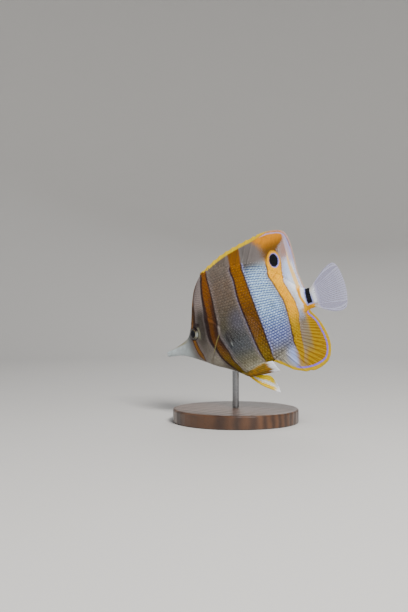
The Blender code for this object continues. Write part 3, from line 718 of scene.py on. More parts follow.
def base_colour(nodes):
    """The ground between the markings: grey in front, silver behind, pale on the snout. The grey in
    front, the darker head and the darkening down the flank are painted shade.
    """
    x, _, z = nodes.parts(nodes.place())
    silver_side = nodes.ramp(nodes.field("behind"), -2, 2)
    # painted shade: grey before the third bar, darker down the flank
    grey = nodes.mix(nodes.fade(z, 0, 26), GREY, SHADED_MIDDLE_GREY)
    grey = nodes.mix(nodes.fade(z, -12, 4), grey, SHADED_LOW_GREY)
    # painted shade: the silver darker down the flank
    silver = nodes.mix(nodes.fade(z, -16, 6), SILVER, SHADED_LOW_SILVER)
    base = nodes.mix(silver_side, grey, silver)
    base = nodes.mix(nodes.ramp(z, -28, -14, 0.95, 0), base, TAN)
    belly = nodes.times(nodes.fade(z, -31, -24), nodes.fade(silver_side, 0, 1))
    base = nodes.mix(belly, base, CREAM)
    low_silver = nodes.times(silver_side, nodes.ramp(z, -29, -20, 0.8, 0))
    base = nodes.mix(low_silver, base, LOW_PEARL)
    front = nodes.fade(x, 46, 54)
    # painted shade: the head darker on the cheek and gill cover, and below them
    base = nodes.mix(nodes.times(front, nodes.fade(z, 16, 24)), base, SHADED_CHEEK_GREY)
    base = nodes.mix(nodes.times(front, nodes.fade(z, -9, 3)), base, SHADED_LOW_CHEEK)
    base = nodes.mix(nodes.times(front, nodes.ramp(z, 13, 27)), base, NAPE_PINK)
    base = nodes.mix(nodes.times(front, nodes.ramp(z, -22, -8, 0.9, 0)), base, THROAT_GREY)
    over_back = nodes.times(nodes.ramp(z, 27, 38), nodes.fade(x, 100, 108))
    over_back = nodes.times(over_back, nodes.ramp(x, 70, 84, 0.3, 1))
    base = nodes.mix(over_back, base, MEMBRANE_GREY)
    base = nodes.mix(nodes.fade(x, 18, 31), base, SNOUT_WHITE)
    snout_top = nodes.times(nodes.fade(x, 17, 27), nodes.ramp(z, 0.6, 2.4, 0, 0.8))
    base = nodes.mix(snout_top, base, SNOUT_OCHRE)
    low_rear = nodes.times(nodes.ramp(x, 106, 112), nodes.ramp(z, -12, -4, 0.9, 0))
    base = nodes.mix(low_rear, base, OLIVE_TAN)
    return nodes.mix(nodes.ramp(nodes.noise(0.25, 3), 0.35, 0.75, 0, 0.25), base, MEMBRANE_GREY)


def paint(nodes, colour, layers):
    """The colour with the markings on it, their edges slightly uneven."""
    wobble = nodes.ramp(nodes.noise(1.1, 2), 0.2, 0.8, -0.22, 0.22)
    orange = orange_colour(nodes)
    for field, wider, softness, cover, tint in layers:
        inside = nodes.field(field)
        if field in LINES:
            inside = nodes.math("SUBTRACT", nodes.field(field + "_half"), nodes.math("ABSOLUTE", inside))
        inside = nodes.math("ADD", inside, wobble)
        share = nodes.ramp(inside, -wider - softness, softness - wider, 0, cover)
        colour = nodes.mix(share, colour, orange if tint == "orange" else tint)
    return colour


def skin_material():
    nodes = Nodes("skin")
    colour = paint(nodes, base_colour(nodes), BODY_PAINT)
    fine = nodes.noise(2.4, 4)
    return nodes.set(Base_Color=colour, Roughness=nodes.ramp(fine, 0.3, 0.7, 0.34, 0.5), Metallic=0.15,
                     Specular_IOR_Level=0.25, Coat_Weight=0.12, Coat_Roughness=0.12,
                     Normal=nodes.bump(fine, 0.00025))


def scale_material():
    """Scales shine, darker between the rows and under the edge of the scale in front: painted shade, partly
    the darker skin there. The gaps are plainest on the silver, faint on the golden bar and under the belly."""
    nodes = Nodes("scales")
    x, _, z = nodes.parts(nodes.place())
    tip, across, shade = nodes.field("tip"), nodes.field("across"), nodes.field("shade")
    silver = nodes.ramp(nodes.field("behind"), -2, 2)
    off_bars = nodes.fade(nodes.field("bars"), -1, 0)
    plain = nodes.times(silver, off_bars)
    centre = nodes.times(across, across)

    rows = nodes.ramp(centre, 0.3, 0.85, 0, 0.9)
    wide_rows = nodes.ramp(centre, 0.03, 0.45)
    rows = nodes.math("MAXIMUM", rows, nodes.times(wide_rows, plain))
    low = nodes.times(nodes.ramp(z, -6, 14, 0.9, 0.3), nodes.ramp(silver, 0, 1, 0.6, 1))
    steps = nodes.times(nodes.fade(tip, 0.42, 0.66), low)
    gap = nodes.math("MAXIMUM", rows, steps)
    belly_fade = nodes.math("MAXIMUM", silver, nodes.ramp(z, -8, 14, 0.15, 1))
    golden_fade = nodes.math("MAXIMUM", off_bars, nodes.ramp(x, 88, 96, 1, 0.45))
    low_fade = nodes.ramp(z, -30, -16, 0.15, 1)
    rear_fade = nodes.ramp(x, 107, 113, 1, 0.15)
    for fade in (belly_fade, golden_fade, low_fade, rear_fade, nodes.field("inner")):
        gap = nodes.times(gap, fade)

    colour = paint(nodes, base_colour(nodes), BODY_PAINT)
    blue = nodes.times(plain, nodes.ramp(z, -22, -2, 0.3, 1))
    # painted shade in the gaps between and under the scales, partly their darker skin
    colour = nodes.mix(gap, colour, nodes.mix(blue, GREY_GAP_SHADE, SILVER_GAP_SHADE), "MULTIPLY")
    colour = nodes.mix(nodes.ramp(shade, 0, 1, 0, 0.3), colour, (1, 1, 1), "SOFT_LIGHT")
    radius = nodes.math("SQRT", nodes.math("ADD", centre, nodes.times(tip, tip)))
    rings = nodes.math("SINE", nodes.times(radius, 60))
    return nodes.set(Base_Color=colour, Roughness=nodes.ramp(shade, 0, 1, 0.3, 0.45),
                     Metallic=nodes.ramp(plain, 0, 1, 0.2, 0.5), Specular_IOR_Level=0.2,
                     Coat_Weight=0.08, Coat_Roughness=0.12, Normal=nodes.bump(rings, 0.00001))


def median_fin_material():
    """The body's pattern over rays and membrane, clearer along the soft rear margin."""
    nodes = Nodes("median_fin")
    colour = paint(nodes, base_colour(nodes), BODY_PAINT)
    x, _, z = nodes.parts(nodes.place())
    ray = nodes.field("ray")
    colour = nodes.mix(nodes.ramp(x, 84, 100, 0.4, 0), colour, (0.5, 0.5, 0.5), "MULTIPLY")
    low = nodes.times(nodes.ramp(z, -12, 10, 0.75, 0.1), nodes.ramp(x, 98, 110, 0.2, 1))
    ray_tint = nodes.times(nodes.ramp(ray, 0.1, 0.8), low)
    colour = nodes.mix(ray_tint, colour, RAY_BROWN, "MULTIPLY")
    colour = paint(nodes, colour, MARGIN_PAINT)
    clear = nodes.times(nodes.ramp(nodes.field("edge"), 0.3, 2, 0.25, 0),
                       nodes.ramp(nodes.field("soft"), 0.3, 0.7))
    alpha = nodes.math("SUBTRACT", 1, nodes.times(clear, nodes.ramp(ray, 0.2, 0.8, 1, 0.4)))
    fine = nodes.noise(1.8, 3)
    return nodes.set(Base_Color=colour, Roughness=0.45, Alpha=alpha, Specular_IOR_Level=0.2,
                     Normal=nodes.bump(fine, 0.0001))


def clear_fin_material(name, tint, root_tint, low_tint, membrane, rays, root_length, ray_shine):
    """A see-through fin: opaque at its root, which may be paler at its low end, with faintly tinted
    rays. On the pectoral fins the dark root is painted shade and its pale low end a painted highlight."""
    nodes = Nodes(name)
    ray, out = nodes.field("ray"), nodes.field("out")
    root = nodes.mix(nodes.ramp(nodes.field("low"), 0.5, 0.8), root_tint, low_tint)
    colour = nodes.mix(nodes.ramp(out, 0, 0.3), root, tint)
    colour = nodes.mix(nodes.ramp(ray, 0.2, 0.9, 0, ray_shine), colour, PEARL)
    cover = nodes.ramp(ray, 0.15, 0.85, membrane, nodes.ramp(out, 0.2, 0.9, rays, 0.5 * (rays + membrane)))
    alpha = nodes.math("MAXIMUM", cover, nodes.ramp(out, 0.35 * root_length, root_length, 1, 0))
    return nodes.set(Base_Color=colour, Roughness=0.4, Alpha=alpha, Specular_IOR_Level=0.2,
                     Normal=nodes.bump(nodes.noise(1.5, 2), 0.0001))


def pelvic_material(name, bands, tip, root, edge, middle, rear, mottle):
    """Bands along the fin from its front edge to its rear edge, white at the tip."""
    nodes = Nodes(name)
    band, out, ray = nodes.field("band"), nodes.field("out"), nodes.field("ray")
    band = nodes.math("ADD", band, nodes.ramp(nodes.noise(0.8, 2), 0.2, 0.8, -0.08, 0.08))
    first, second = bands
    colour = nodes.mix(nodes.ramp(band, first - 0.06, first + 0.06), edge, middle)
    colour = nodes.mix(nodes.ramp(band, second - 0.08, second + 0.08), colour, rear)
    colour = nodes.mix(nodes.fade(out, 0.1, 0.3), colour, root)
    mottling = nodes.ramp(nodes.noise(0.4, 2), 0.42, 0.65, 0, mottle)
    colour = nodes.mix(mottling, colour, MOTTLE_OLIVE)
    along = nodes.node("CombineXYZ", {0: nodes.times(nodes.field("band"), 6), 1: out}).outputs[0]
    streaks = nodes.ramp(nodes.noise(1, 1, along), 0.3, 0.7, -0.07, 0.07)
    colour = nodes.mix(nodes.ramp(nodes.math("ADD", out, streaks), tip - 0.07, tip + 0.07), colour, PEARL)
    colour = nodes.mix(nodes.ramp(ray, 0.1, 0.8, 0.25, 0), colour, RAY_GAP_BROWN, "MULTIPLY")
    return nodes.set(Base_Color=colour, Roughness=0.42, Specular_IOR_Level=0.25,
                     Normal=nodes.bump(nodes.noise(1.8, 3), 0.0001))


def eye_material():
    """A black pupil in a silvery iris with golden and blue flecks, dark where the first bar crosses."""
    nodes = Nodes("iris")
    radius, glint = nodes.field("radius"), nodes.field("glint")
    streaks = nodes.node("TexNoise", {"Vector": nodes.place("spokes"), "Scale": 1, "Detail": 3})
    iris = nodes.mix(nodes.ramp(streaks.outputs["Fac"], 0.3, 0.7), IRIS_GOLD, IRIS_GREY)
    iris = nodes.mix(nodes.ramp(glint, 0.3, 0.9, 0, 0.8), iris, IRIS_GLINT)
    iris = nodes.mix(nodes.ramp(nodes.field("bar"), 0.2, 0.6), iris, BROWN)
    ring = nodes.math("ABSOLUTE", nodes.math("SUBTRACT", radius, PUPIL_RADIUS + 0.18))
    iris = nodes.mix(nodes.ramp(ring, 0.05, 0.2, 0.5, 0), iris, PUPIL_RING)
    iris = nodes.mix(nodes.ramp(radius, IRIS_RADIUS - 0.3, IRIS_RADIUS + 0.1), iris, EYE_RIM)
    colour = nodes.mix(nodes.ramp(radius, PUPIL_RADIUS - 0.06, PUPIL_RADIUS + 0.06, 1, 0), iris, BLACK)
    shine = nodes.ramp(radius, 2.6, 2.9, 0.12, 0.35)
    return nodes.set(Base_Color=colour, Roughness=0.22, Metallic=nodes.ramp(radius, 2.7, 2.9, 0, 0.3),
                     Specular_IOR_Level=shine, Coat_Weight=shine, Coat_Roughness=0.04,
                     Normal=nodes.bump(streaks.outputs["Fac"], 0.00006))


def wood_material():
    """Dark oiled walnut: rings of a log cut lengthwise, with pores along the grain."""
    nodes = Nodes("walnut")
    place = nodes.node("TexCoord").outputs["Object"]
    stretched = nodes.node("Mapping", {"Vector": place, "Scale": (12, 60, 60),
                                       "Location": (0.35, 0.1, 1.3)}).outputs[0]
    wander = nodes.noise(0.6, 4, stretched)
    rings = nodes.node("TexWave", {"Vector": stretched, "Scale": 0.9, "Distortion": 6, "Detail": 3,
                                   "Detail Scale": 0.7, "Phase Offset": 1.2},
                       bands_direction="Y").outputs["Fac"]
    pores_place = nodes.node("Mapping", {"Vector": place, "Scale": (140, 2400, 1600)}).outputs[0]
    pores = nodes.ramp(nodes.noise(1, 2, pores_place), 0.62, 0.74)
    colour = nodes.mix(rings, WALNUT, PALE_WALNUT)
    colour = nodes.mix(nodes.ramp(wander, 0.3, 0.7, 0, 0.5), colour, DARK_WALNUT)
    colour = nodes.mix(nodes.times(pores, 0.7), colour, PORE_BROWN)
    height = nodes.math("SUBTRACT", nodes.times(rings, 0.3), pores)
    return nodes.set(Base_Color=colour, Roughness=nodes.ramp(rings, 0, 1, 0.42, 0.3), Coat_Weight=0.25,
                     Coat_Roughness=0.25, Normal=nodes.bump(height, 0.00006))


def steel_material():
    """Steel rod brushed round its axis."""
    nodes = Nodes("brushed_steel")
    place = nodes.node("TexCoord").outputs["Object"]
    stretched = nodes.node("Mapping", {"Vector": place, "Scale": (300, 300, 14000)}).outputs[0]
    lines = nodes.noise(1, 3, stretched)
    smudge = nodes.ramp(nodes.noise(220, 2, place), 0.4, 0.8, 0, 0.12)
    rough = nodes.math("ADD", nodes.ramp(lines, 0.3, 0.7, 0.2, 0.36), smudge)
    colour = nodes.mix(lines, STEEL, PALE_STEEL)
    return nodes.set(Base_Color=colour, Metallic=1, Roughness=rough, Normal=nodes.bump(lines, 0.00002))


def skin_grid():
    """Rings of points round the body from snout to tail, before relief, and the place round each ring."""
    round_nose = np.radians(np.linspace(12, 90, NOSE_STEPS))
    nose_x = NOSE_LENGTH * (1 - np.cos(round_nose))
    head_x = np.arange(NOSE_LENGTH + HEAD_STEP, 62, HEAD_STEP)
    stations = np.concatenate([nose_x, head_x, np.arange(62, BODY_END, BODY_STEP), [BODY_END]])
    shrink = np.concatenate([np.sin(round_nose), np.ones(len(stations) - NOSE_STEPS)])[:, None]
    turn = np.linspace(0, 2 * np.pi, SKIN_AROUND, endpoint=False)[None, :]
    x = np.broadcast_to(stations[:, None], (len(stations), SKIN_AROUND))
    at = np.maximum(x, NOSE_LENGTH)
    level = waist(at)
    up = np.cos(turn) >= 0
    reach = np.where(up, back(at) - level, level - belly(at)) * np.cos(turn)
    pinch = np.where(up, BACK_PINCH, BELLY_PINCH)
    half = (half_width(at) - SKIN_DEPTH) * np.abs(np.sin(turn)) ** pinch
    middle = (back(at) + belly(at)) / 2
    z = middle + (level + reach - middle) * shrink
    return np.stack([x, -np.sign(np.sin(turn)) * half * shrink, z], -1), turn


def ring_normals(grid):
    """Outward directions at the points of a grid of closed rings."""
    along = np.gradient(grid, axis=0)
    around = np.roll(grid, -1, axis=1) - np.roll(grid, 1, axis=1)
    normals = np.cross(around, along)
    return normals / np.maximum(np.linalg.norm(normals, axis=-1, keepdims=True), 1e-9)


def make_skin(material):
    """One closed skin from the lips to the tail's root."""
    grid, turn = skin_grid()
    normals = ring_normals(grid)
    if (normals[len(grid) // 2, SKIN_AROUND // 4] * [0, -1, 0]).sum() < 0:
        normals = -normals
    x, z = grid[..., 0], grid[..., 2]
    lift = relief(x, z) * ease(np.abs(np.sin(turn)) / 0.35)
    lift[:NOSE_STEPS] = 0
    points = (grid + lift[..., None] * normals).reshape(-1, 3)
    rings = len(grid)
    index = np.arange(rings * SKIN_AROUND).reshape(rings, SKIN_AROUND)
    after = np.roll(index, -1, axis=1)
    quads = np.stack([index[:-1], after[:-1], after[1:], index[1:]], -1).reshape(-1, 4)
    caps = []
    for ring, swap in ((0, False), (rings - 1, True)):
        centre = len(points)
        points = np.vstack([points, points[index[ring]].mean(axis=0)])
        for a, b in zip(index[ring], after[ring]):
            caps.append((centre, a, b) if swap else (centre, b, a))
    quads_out = outward(points, quads)
    if not np.array_equal(quads_out, quads):
        caps = [cap[::-1] for cap in caps]
    mesh = make_mesh("skin", points, quads_out.tolist() + [tuple(int(k) for k in cap) for cap in caps])
    skin = make_piece("skin", mesh, material, "skin", "snout", "head", "torso", "tail_stalk")
    cut_mouth(skin)
    rotation, offset = np.array(POSE.to_3x3()), np.array(POSE.translation)
    places = np.empty(len(skin.data.vertices) * 3, np.float32)
    skin.data.vertices.foreach_get("co", places)
    fish = (places.reshape(-1, 3) - offset) @ rotation / MM
    store(skin.data, "fish", fish)
    for field, values in body_markings(fish[:, 0], fish[:, 2]).items():
        store(skin.data, field, values)
    skin.data.set_sharp_from_angle(angle=math.radians(60))


def cut_mouth(skin):
    """Open the slit between the lips with a wedge."""
    half = MOUTH_OPENING / 2
    outline = [(-1, MOUTH_HEIGHT + 1.6 * half), (-1, MOUTH_HEIGHT - 1.6 * half),
               (MOUTH_LENGTH, MOUTH_HEIGHT - 0.1), (MOUTH_LENGTH, MOUTH_HEIGHT)]
    points = np.array([(x, side * 5, z) for side in (-1, 1) for x, z in outline], float)
    faces = [[0, 1, 2, 3], [7, 6, 5, 4]] + [[k, k + 4, (k + 1) % 4 + 4, (k + 1) % 4] for k in range(4)]
    mesh = make_mesh("mouth_cutter", points, outward(points, np.array(faces)).tolist())
    cutter = bpy.data.objects.new("mouth_cutter", mesh)
    bpy.context.collection.objects.link(cutter)
    modifier = skin.modifiers.new("mouth", "BOOLEAN")
    modifier.object = cutter
    modifier.solver = "MANIFOLD"
    bpy.context.view_layer.update()
    cut = bpy.data.meshes.new_from_object(skin.evaluated_get(bpy.context.evaluated_depsgraph_get()))
    skin.modifiers.clear()
    material = skin.data.materials[0]
    if "fish" in cut.attributes:
        cut.attributes.remove(cut.attributes["fish"])
    skin.data = cut
    cut.materials.clear()
    cut.materials.append(material)
    cut.shade_smooth()
    bpy.data.objects.remove(cutter)


def row_height(x, row, spacing):
    """Height of a row of scales, numbered from the body's middle line."""
    middle = (back(x) + belly(x)) / 2
    arch = np.where(x < ARCH_X, ARCH_FRONT, ARCH_REAR) * ((x - ARCH_X) / ARCH_REACH) ** 2
    arched = np.where(row > -ARCH_ROWS, row + ARCH_ROWS, 0) * ease((row + ARCH_ROWS) / (2 * ARCH_ROWS))
    return middle + spacing * (row * scale_share(x) - arched * arch)


def scale_share(x):
    """Size of the scales at x as a share of their full size."""
    return ((back(x) - belly(x)) / FULL_DEPTH) ** ROW_FLOW


def scale_lattice(spacing, pitch, start, end, rng):
    """Staggered places in rows that follow the flow of the body, the rows' slope there, and the
    distances from scale to scale along and across the rows."""
    table = np.arange(start, end, TABLE_STEP)
    column = np.cumsum(TABLE_STEP / (pitch * scale_share(table)))
    rows = np.arange(-60, 61)
    columns = np.arange(math.ceil(column[0]), column[-1])
    row, place = np.meshgrid(rows, columns, indexing="ij")
    x = np.interp(place + 0.5 * (row % 2), column, table).ravel()
    row = row.ravel()
    x = x + rng.normal(0, 0.04 * pitch, x.shape)
    z = row_height(x, row, spacing)
    slope = row_height(x + 0.5, row, spacing) - row_height(x - 0.5, row, spacing)
    width = row_height(x, row + 1, spacing) - z
    return x, z + rng.normal(0, 0.03 * spacing, x.shape), np.arctan(slope), pitch * scale_share(x), width


def arc_from_waist(x, z):
    """Distance along the skin from the waist up or down to z, for unwrapping."""
    level = waist(x)
    samples = np.linspace(0, 1, 16)[:, None]
    heights = level + (z - level) * samples
    halves = flesh_half(np.broadcast_to(x, heights.shape), heights)
    return np.hypot(np.diff(heights, axis=0), np.diff(halves, axis=0)).sum(axis=0) * np.sign(z - level)


def make_scales(name, side, x, z, lean, length, width, inner, rng, material):
    """Overlapping plates, each with its root sunk in the skin and its rear edge free."""
    count = len(x)
    along_points, across_points = SCALE_GRID
    tip = np.linspace(0, 1, along_points)[None, :, None]
    across = np.linspace(-1, 1, across_points)[None, None, :]
    lean = (lean + rng.normal(0, 0.05, count))[:, None, None]
    along = SCALE_REACH * length[:, None, None] * tip * (1 - SCALE_ROUND * across ** 2)
    beside = SCALE_SPREAD * width[:, None, None] * across * (0.86 + 0.14 * np.sin(np.pi * tip))
    place_x = x[:, None, None] + along * np.cos(lean) - beside * np.sin(lean)
    place_z = z[:, None, None] + along * np.sin(lean) + beside * np.cos(lean)
    lift = np.minimum(width[:, None, None] / SCALE_SPACING, 1) * rng.uniform(0.85, 1.15, (count, 1, 1))
    calm = 1 - 0.6 * ease((-2 - z) / 10) * ease((86 - x) / 4)
    lift = lift * ((0.35 + 0.65 * inner) * calm)[:, None, None]
    top = (-SCALE_ROOT + SCALE_RISE * tip - SCALE_CROWN * across ** 2) * lift
    ground, normal = surface(place_x, place_z, side)
    thick = SCALE_THICK * (1 - 0.5 * tip[..., None])
    upper = ground + normal * top[..., None]
    lower = upper - normal * thick
    points = np.stack([upper, lower], 1).reshape(count, -1, 3)
    one = sheet_faces(along_points, across_points)
    faces = (one[None] + np.arange(count)[:, None, None] * points.shape[1]).reshape(-1, 4)
    points = points.reshape(-1, 3)
    faces = outward(points, faces)
    fields = body_markings(points[:, 0], points[:, 2])
    grid = (count, 2, along_points, across_points)
    fields["tip"] = np.broadcast_to(tip[:, None], grid).ravel()
    fields["across"] = np.broadcast_to(across[:, None], grid).ravel()
    fields["shade"] = np.broadcast_to(rng.random((count, 1, 1, 1)), grid).ravel()
    fields["inner"] = np.broadcast_to(inner[:, None, None, None], grid).ravel()
    mesh = make_mesh(name, points, faces, fields)

    u = 0.06 + x / UNWRAP
    v = 0.5 + arc_from_waist(x, z) / UNWRAP
    u = np.broadcast_to(u[:, None, None, None] + PATCH * (tip[:, None] - 0.5), grid).ravel()
    v = np.broadcast_to(v[:, None, None, None] + PATCH * across[:, None] / 2, grid).ravel()
    layer = mesh.uv_layers.new(name="OFBake")
    corners = faces.ravel()
    layer.uv.foreach_set("vector", np.stack([u[corners], v[corners]], -1).astype(np.float32).ravel())
    return make_piece(name, mesh, material, "skin")


def make_coat(material):
    """Scales on both flanks, the fins' roots and, smaller, on the head."""
    for side, hand in HANDS.items():
        rng = np.random.default_rng(COAT_SEEDS[side])
        places = scale_lattice(SCALE_SPACING, SCALE_PITCH, 40, 133, rng)
        x, z = places[:2]
        over, under = z - back(x), belly(x) - z
        sheath = 1.2 + 2.1 * ease((x - 78) / 22) - 2 * ease((x - 112) / 8)
        keep = (over < sheath) & (under < np.where(x > ANAL_START + 2, 3.0, -0.8)) & (x < 128)
        keep &= (over < -0.3) | (x > DORSAL_START + 3)
        keep &= (x > gill_edge(z) - 0.6)
        keep &= flesh_half(x, z) > 0.12
        inner = ease((sheath - over) / 5)
        make_scales("scales_" + hand, side, *(part[keep] for part in (*places, inner)), rng, material)

        places = scale_lattice(HEAD_SPACING, HEAD_PITCH, 24, 58, rng)
        x, z, _, length, _ = places
        from_eye = np.hypot(x + 0.8 - EYE_X, z - EYE_Z)
        keep = (z < back(x) - 0.6) & (z > belly(x) + 0.5) & (x + SCALE_REACH * length < gill_edge(z) + 0.2)
        keep &= (from_eye > 6.3) & (x > 26.5) & (flesh_half(x, z) > 1.6)
        inner = ease((flesh_half(x, z) - 1.6) / 2)
        make_scales("head_scales_" + hand, side, *(part[keep] for part in (*places, inner)), rng, material)


def edge_distance(place, free_edge):
    """Distance in the side view from places of a fin to its free edge."""
    path = free_edge(np.linspace(0, 1, 240))
    flat = place.reshape(-1, 2)
    nearest = np.full(len(flat), 99.0)
    for a, b in zip(path[:-1], path[1:]):
        along = np.clip((flat - a) @ (b - a) / ((b - a) @ (b - a)), 0, 1)[:, None]
        nearest = np.minimum(nearest, np.linalg.norm(flat - a - along * (b - a), axis=-1))
    return nearest.reshape(place.shape[:-1])


def ray_shape(s, v, count, spines=0, spine_share=0.0):
    """How much of a ray, 0 to 1, is at each place of a fin, whether it lies among the spines, and the
    count of spines or rays up to it."""
    in_spines = s < spine_share if spines else np.zeros_like(s, bool)
    spine_turn = s / spine_share * spines if spines else s
    ray_turn = (s - spine_share) / (1 - spine_share) * count
    turn = np.where(in_spines, spine_turn, ray_turn)
    off = np.abs(turn % 1 - 0.5)
    fork = np.where(in_spines, 0, 0.2 * ease((v - 0.4) / 0.5))
    second = np.where(in_spines, 0, 0.09 * ease((v - 0.75) / 0.3))
    width = np.where(in_spines, 0.13 * (1 - 0.5 * v), 0.14 * (1 - 0.45 * v))
    ray = np.zeros_like(s)
    for shift in (fork - second, fork + second):
        ray = np.maximum(ray, bell((off - shift) / width))
    return ray, in_spines, turn


def ray_taper(v, steep):
    """How a ray's ridge rises from the fin's root and thins towards the free edge."""
    return np.clip(steep * v, 0, 1) * (1 - 0.65 * v)


def make_sheet(name, centre, half, fields, material, slot, *nodes):
    """A closed fin from grids of middle points and half-thickness vectors, in the fish's frame."""
    columns, rows = centre.shape[:2]
    points = np.concatenate([(centre + half).reshape(-1, 3), (centre - half).reshape(-1, 3)])
    faces = outward(points, sheet_faces(columns, rows))
    both = {key: np.tile(np.broadcast_to(value, (columns, rows)).ravel(), 2)
            for key, value in fields.items()}
    mesh = make_mesh(name, points, faces, both)
    return make_piece(name, mesh, material, slot, *nodes)


def upright(x, half, z, y=0.0):
    """Middle points and half-thickness vectors of a fin that is thick along y alone."""
    flat = np.zeros_like(x)
    return np.stack([x, flat + y, z], -1), np.stack([flat, half, flat], -1)


def fin_grid(rays, rows, per_ray=8):
    """Shares across a fin's rays and out to its free edge, closer together at the edge."""
    s = np.linspace(0, 1, rays * per_ray + 1)[:, None]
    v = np.linspace(0, 1, rows)[None, :]
    v = 1 - (1 - v) ** 1.25
    return np.broadcast_arrays(s, v)


def make_median_fin(name, edge_of_body, outward_sign, start, end, outline, spines, rays, spine_share,
                    sweep, material):
    """A fin on the back or belly: stiff spines with a notched edge in front, soft branched rays
    behind. Sweep moves the rays' ends back along the free edge."""
    free_edge = smooth_path(outline)
    root_x = np.linspace(start, end, 60)
    root = smooth_path(np.stack([root_x, edge_of_body(root_x) - outward_sign * FIN_SINK], -1))
    s, v = fin_grid(spines + rays, 54)
    ray, in_spines, turn = ray_shape(s, v, rays, spines, spine_share)
    low, high = root(s), free_edge(s + sweep * s * (1 - s))
    reach = high - low
    length = np.linalg.norm(reach, axis=-1)
    between = np.abs(np.sin(np.pi * ((turn + 0.5) % 1)))
    notch = np.where(in_spines, np.minimum(0.9, 0.3 * length) * between ** 0.8, 0.12 * between)
    place = low + reach * (v * (1 - notch / length))[..., None]
    x, z = place[..., 0], place[..., 1]
    height = (z - edge_of_body(x)) * outward_sign
    rise = np.where(in_spines, 0.42, 0.2) * ray * np.clip(height / 3, 0, 1) * (1 - 0.7 * v)
    half = root_flesh(np.minimum(x, BODY_END), height) + rise
    half = np.where(v > RIM_FROM, FIN_RIM, half)
    joints = np.where(in_spines, 0, 0.02 * ray * np.sin(2 * np.pi * v * length / 0.9) * (v > 0.3))
    half = half + joints * (v < 0.97)
    edge = edge_distance(place, free_edge)
    fields = body_markings(x, z) | margin_markings(x, z, edge)
    fields.update(ray=ray, edge=edge, soft=ease((s - spine_share) / SOFT_TURN))
    make_sheet(name + "_piece", *upright(x, half, z), fields, material, "fin", name)


def make_tail_fin(material):
    """The tail fin fans out from the end of the body."""
    free_edge = smooth_path(TAIL_OUTLINE)
    top, bottom = back(BODY_END), belly(BODY_END)
    s, v = fin_grid(TAIL_RAYS, 48)
    ray, _, _ = ray_shape(s, v, TAIL_RAYS)
    root_x = BODY_END - 1.2
    root = np.stack([np.full_like(s, root_x), top - 0.5 + (bottom + 1 - top) * s], -1)
    rear = free_edge(TAIL_EDGE_SHARE + (1 - 2 * TAIL_EDGE_SHARE) * s)
    straight = root + (rear - root) * v[..., None]
    upper, lower = free_edge(v * TAIL_EDGE_SHARE), free_edge(1 - v * TAIL_EDGE_SHARE)
    edge_ray = np.where(s[..., None] < 0.5, upper, lower)
    near_edge = (1 - ease(np.minimum(s, 1 - s) * TAIL_RAYS / 1.5))[..., None]
    place = straight + (edge_ray - straight) * near_edge * ease(v / 0.12)[..., None]
    x, z = place[..., 0], place[..., 1]
    flesh = (half_width(BODY_END) - SKIN_DEPTH) * np.sqrt(np.clip(1 - (2 * s - 1) ** 2, 0.04, 1))
    half = FIN_MEMBRANE + (flesh - FIN_MEMBRANE) * (1 - ease((x - BODY_END) / 7))
    half = half + 0.22 * ray * ray_taper(v, 4)
    half = np.where(v > RIM_FROM, FIN_RIM, half)
    fields = {"ray": ray, "out": v, "low": s}
    make_sheet("tail_fin_piece", *upright(x, half, z), fields, material, "clear_fin", "tail_fin")


def make_pectoral_fin(side, material):
    """A rounded, almost clear fan behind the gill cover, on a fleshy root against the flank."""
    free_edge = smooth_path(PECTORAL_OUTLINE)
    (top_x, top_z), (bottom_x, bottom_z) = PECTORAL_ROOT
    s, v = fin_grid(PECTORAL_RAYS, 40)
    ray, _, _ = ray_shape(s, v, PECTORAL_RAYS)
    root = np.stack([top_x + (bottom_x - top_x) * s, top_z + (bottom_z - top_z) * s], -1)
    root = root - [1.0, 0]
    place = root + (free_edge(s) - root) * v[..., None]
    x, z = place[..., 0], place[..., 1]
    half = 0.07 + 0.68 * (1 - ease(v / 0.25)) + 0.16 * ray * ray_taper(v, 3)
    half = np.where(v > RIM_FROM, PECTORAL_RIM, half)
    wave = 0.25 * np.sin(5 * np.pi * s) * v ** 2
    lift = 7.0 * np.clip(v - 0.12, 0, None) ** 1.4 + 0.5 * ease(v / 0.3) + wave
    y = body_half(x, z) + half * ease(v / 0.1) + lift
    fields = {"ray": ray, "out": v, "low": s}
    make_sheet("pectoral_" + HANDS[side], *upright(x, half, z, side * y), fields, material, "clear_fin",
               "pectoral_fin_" + HANDS[side])


def make_pelvic_fin(side, shape, material):
    """A narrow fin under the belly, with one stout spine along its front edge."""
    start, end = PELVIC_ROOT
    front = smooth_path([(start, belly(start))] + shape["front"])
    rear = smooth_path([(end, belly(end))] + shape["rear"])
    s, v = fin_grid(PELVIC_RAYS + 1, 48, 12)
    ray, _, _ = ray_shape(s, v, PELVIC_RAYS + 1)
    near, far = shape["spread"]
    root_x = start + (end - start) * s
    root = np.stack([root_x, np.full_like(s, side * 1.9), belly(root_x) + 1.6], -1)
    flat = front(v) + (rear(v) - front(v)) * s[..., None]
    bow = 0.5 * np.sin(np.pi * s) * v
    out = np.stack([flat[..., 0], side * (near + (far - near) * v + bow), flat[..., 1]], -1)
    centre = root + (out - root) * ease(v / 0.3)[..., None]
    half = 0.7 * (1 - ease(v / 0.35)) + 0.16 * (1 - 0.4 * v)
    is_spine = s < 1 / (PELVIC_RAYS + 1)
    half = half + np.where(is_spine, 0.36, 0.2) * ray * ray_taper(v, 4)
    half = np.where(v > RIM_FROM, FIN_RIM, half)
    thickness = np.stack([np.zeros_like(half), side * half, half * 0.4], -1)
    fields = {"ray": ray, "out": v, "band": s}
    make_sheet("pelvic_" + HANDS[side], centre, thickness, fields, material, "fin",
               "pelvic_fin_" + HANDS[side])


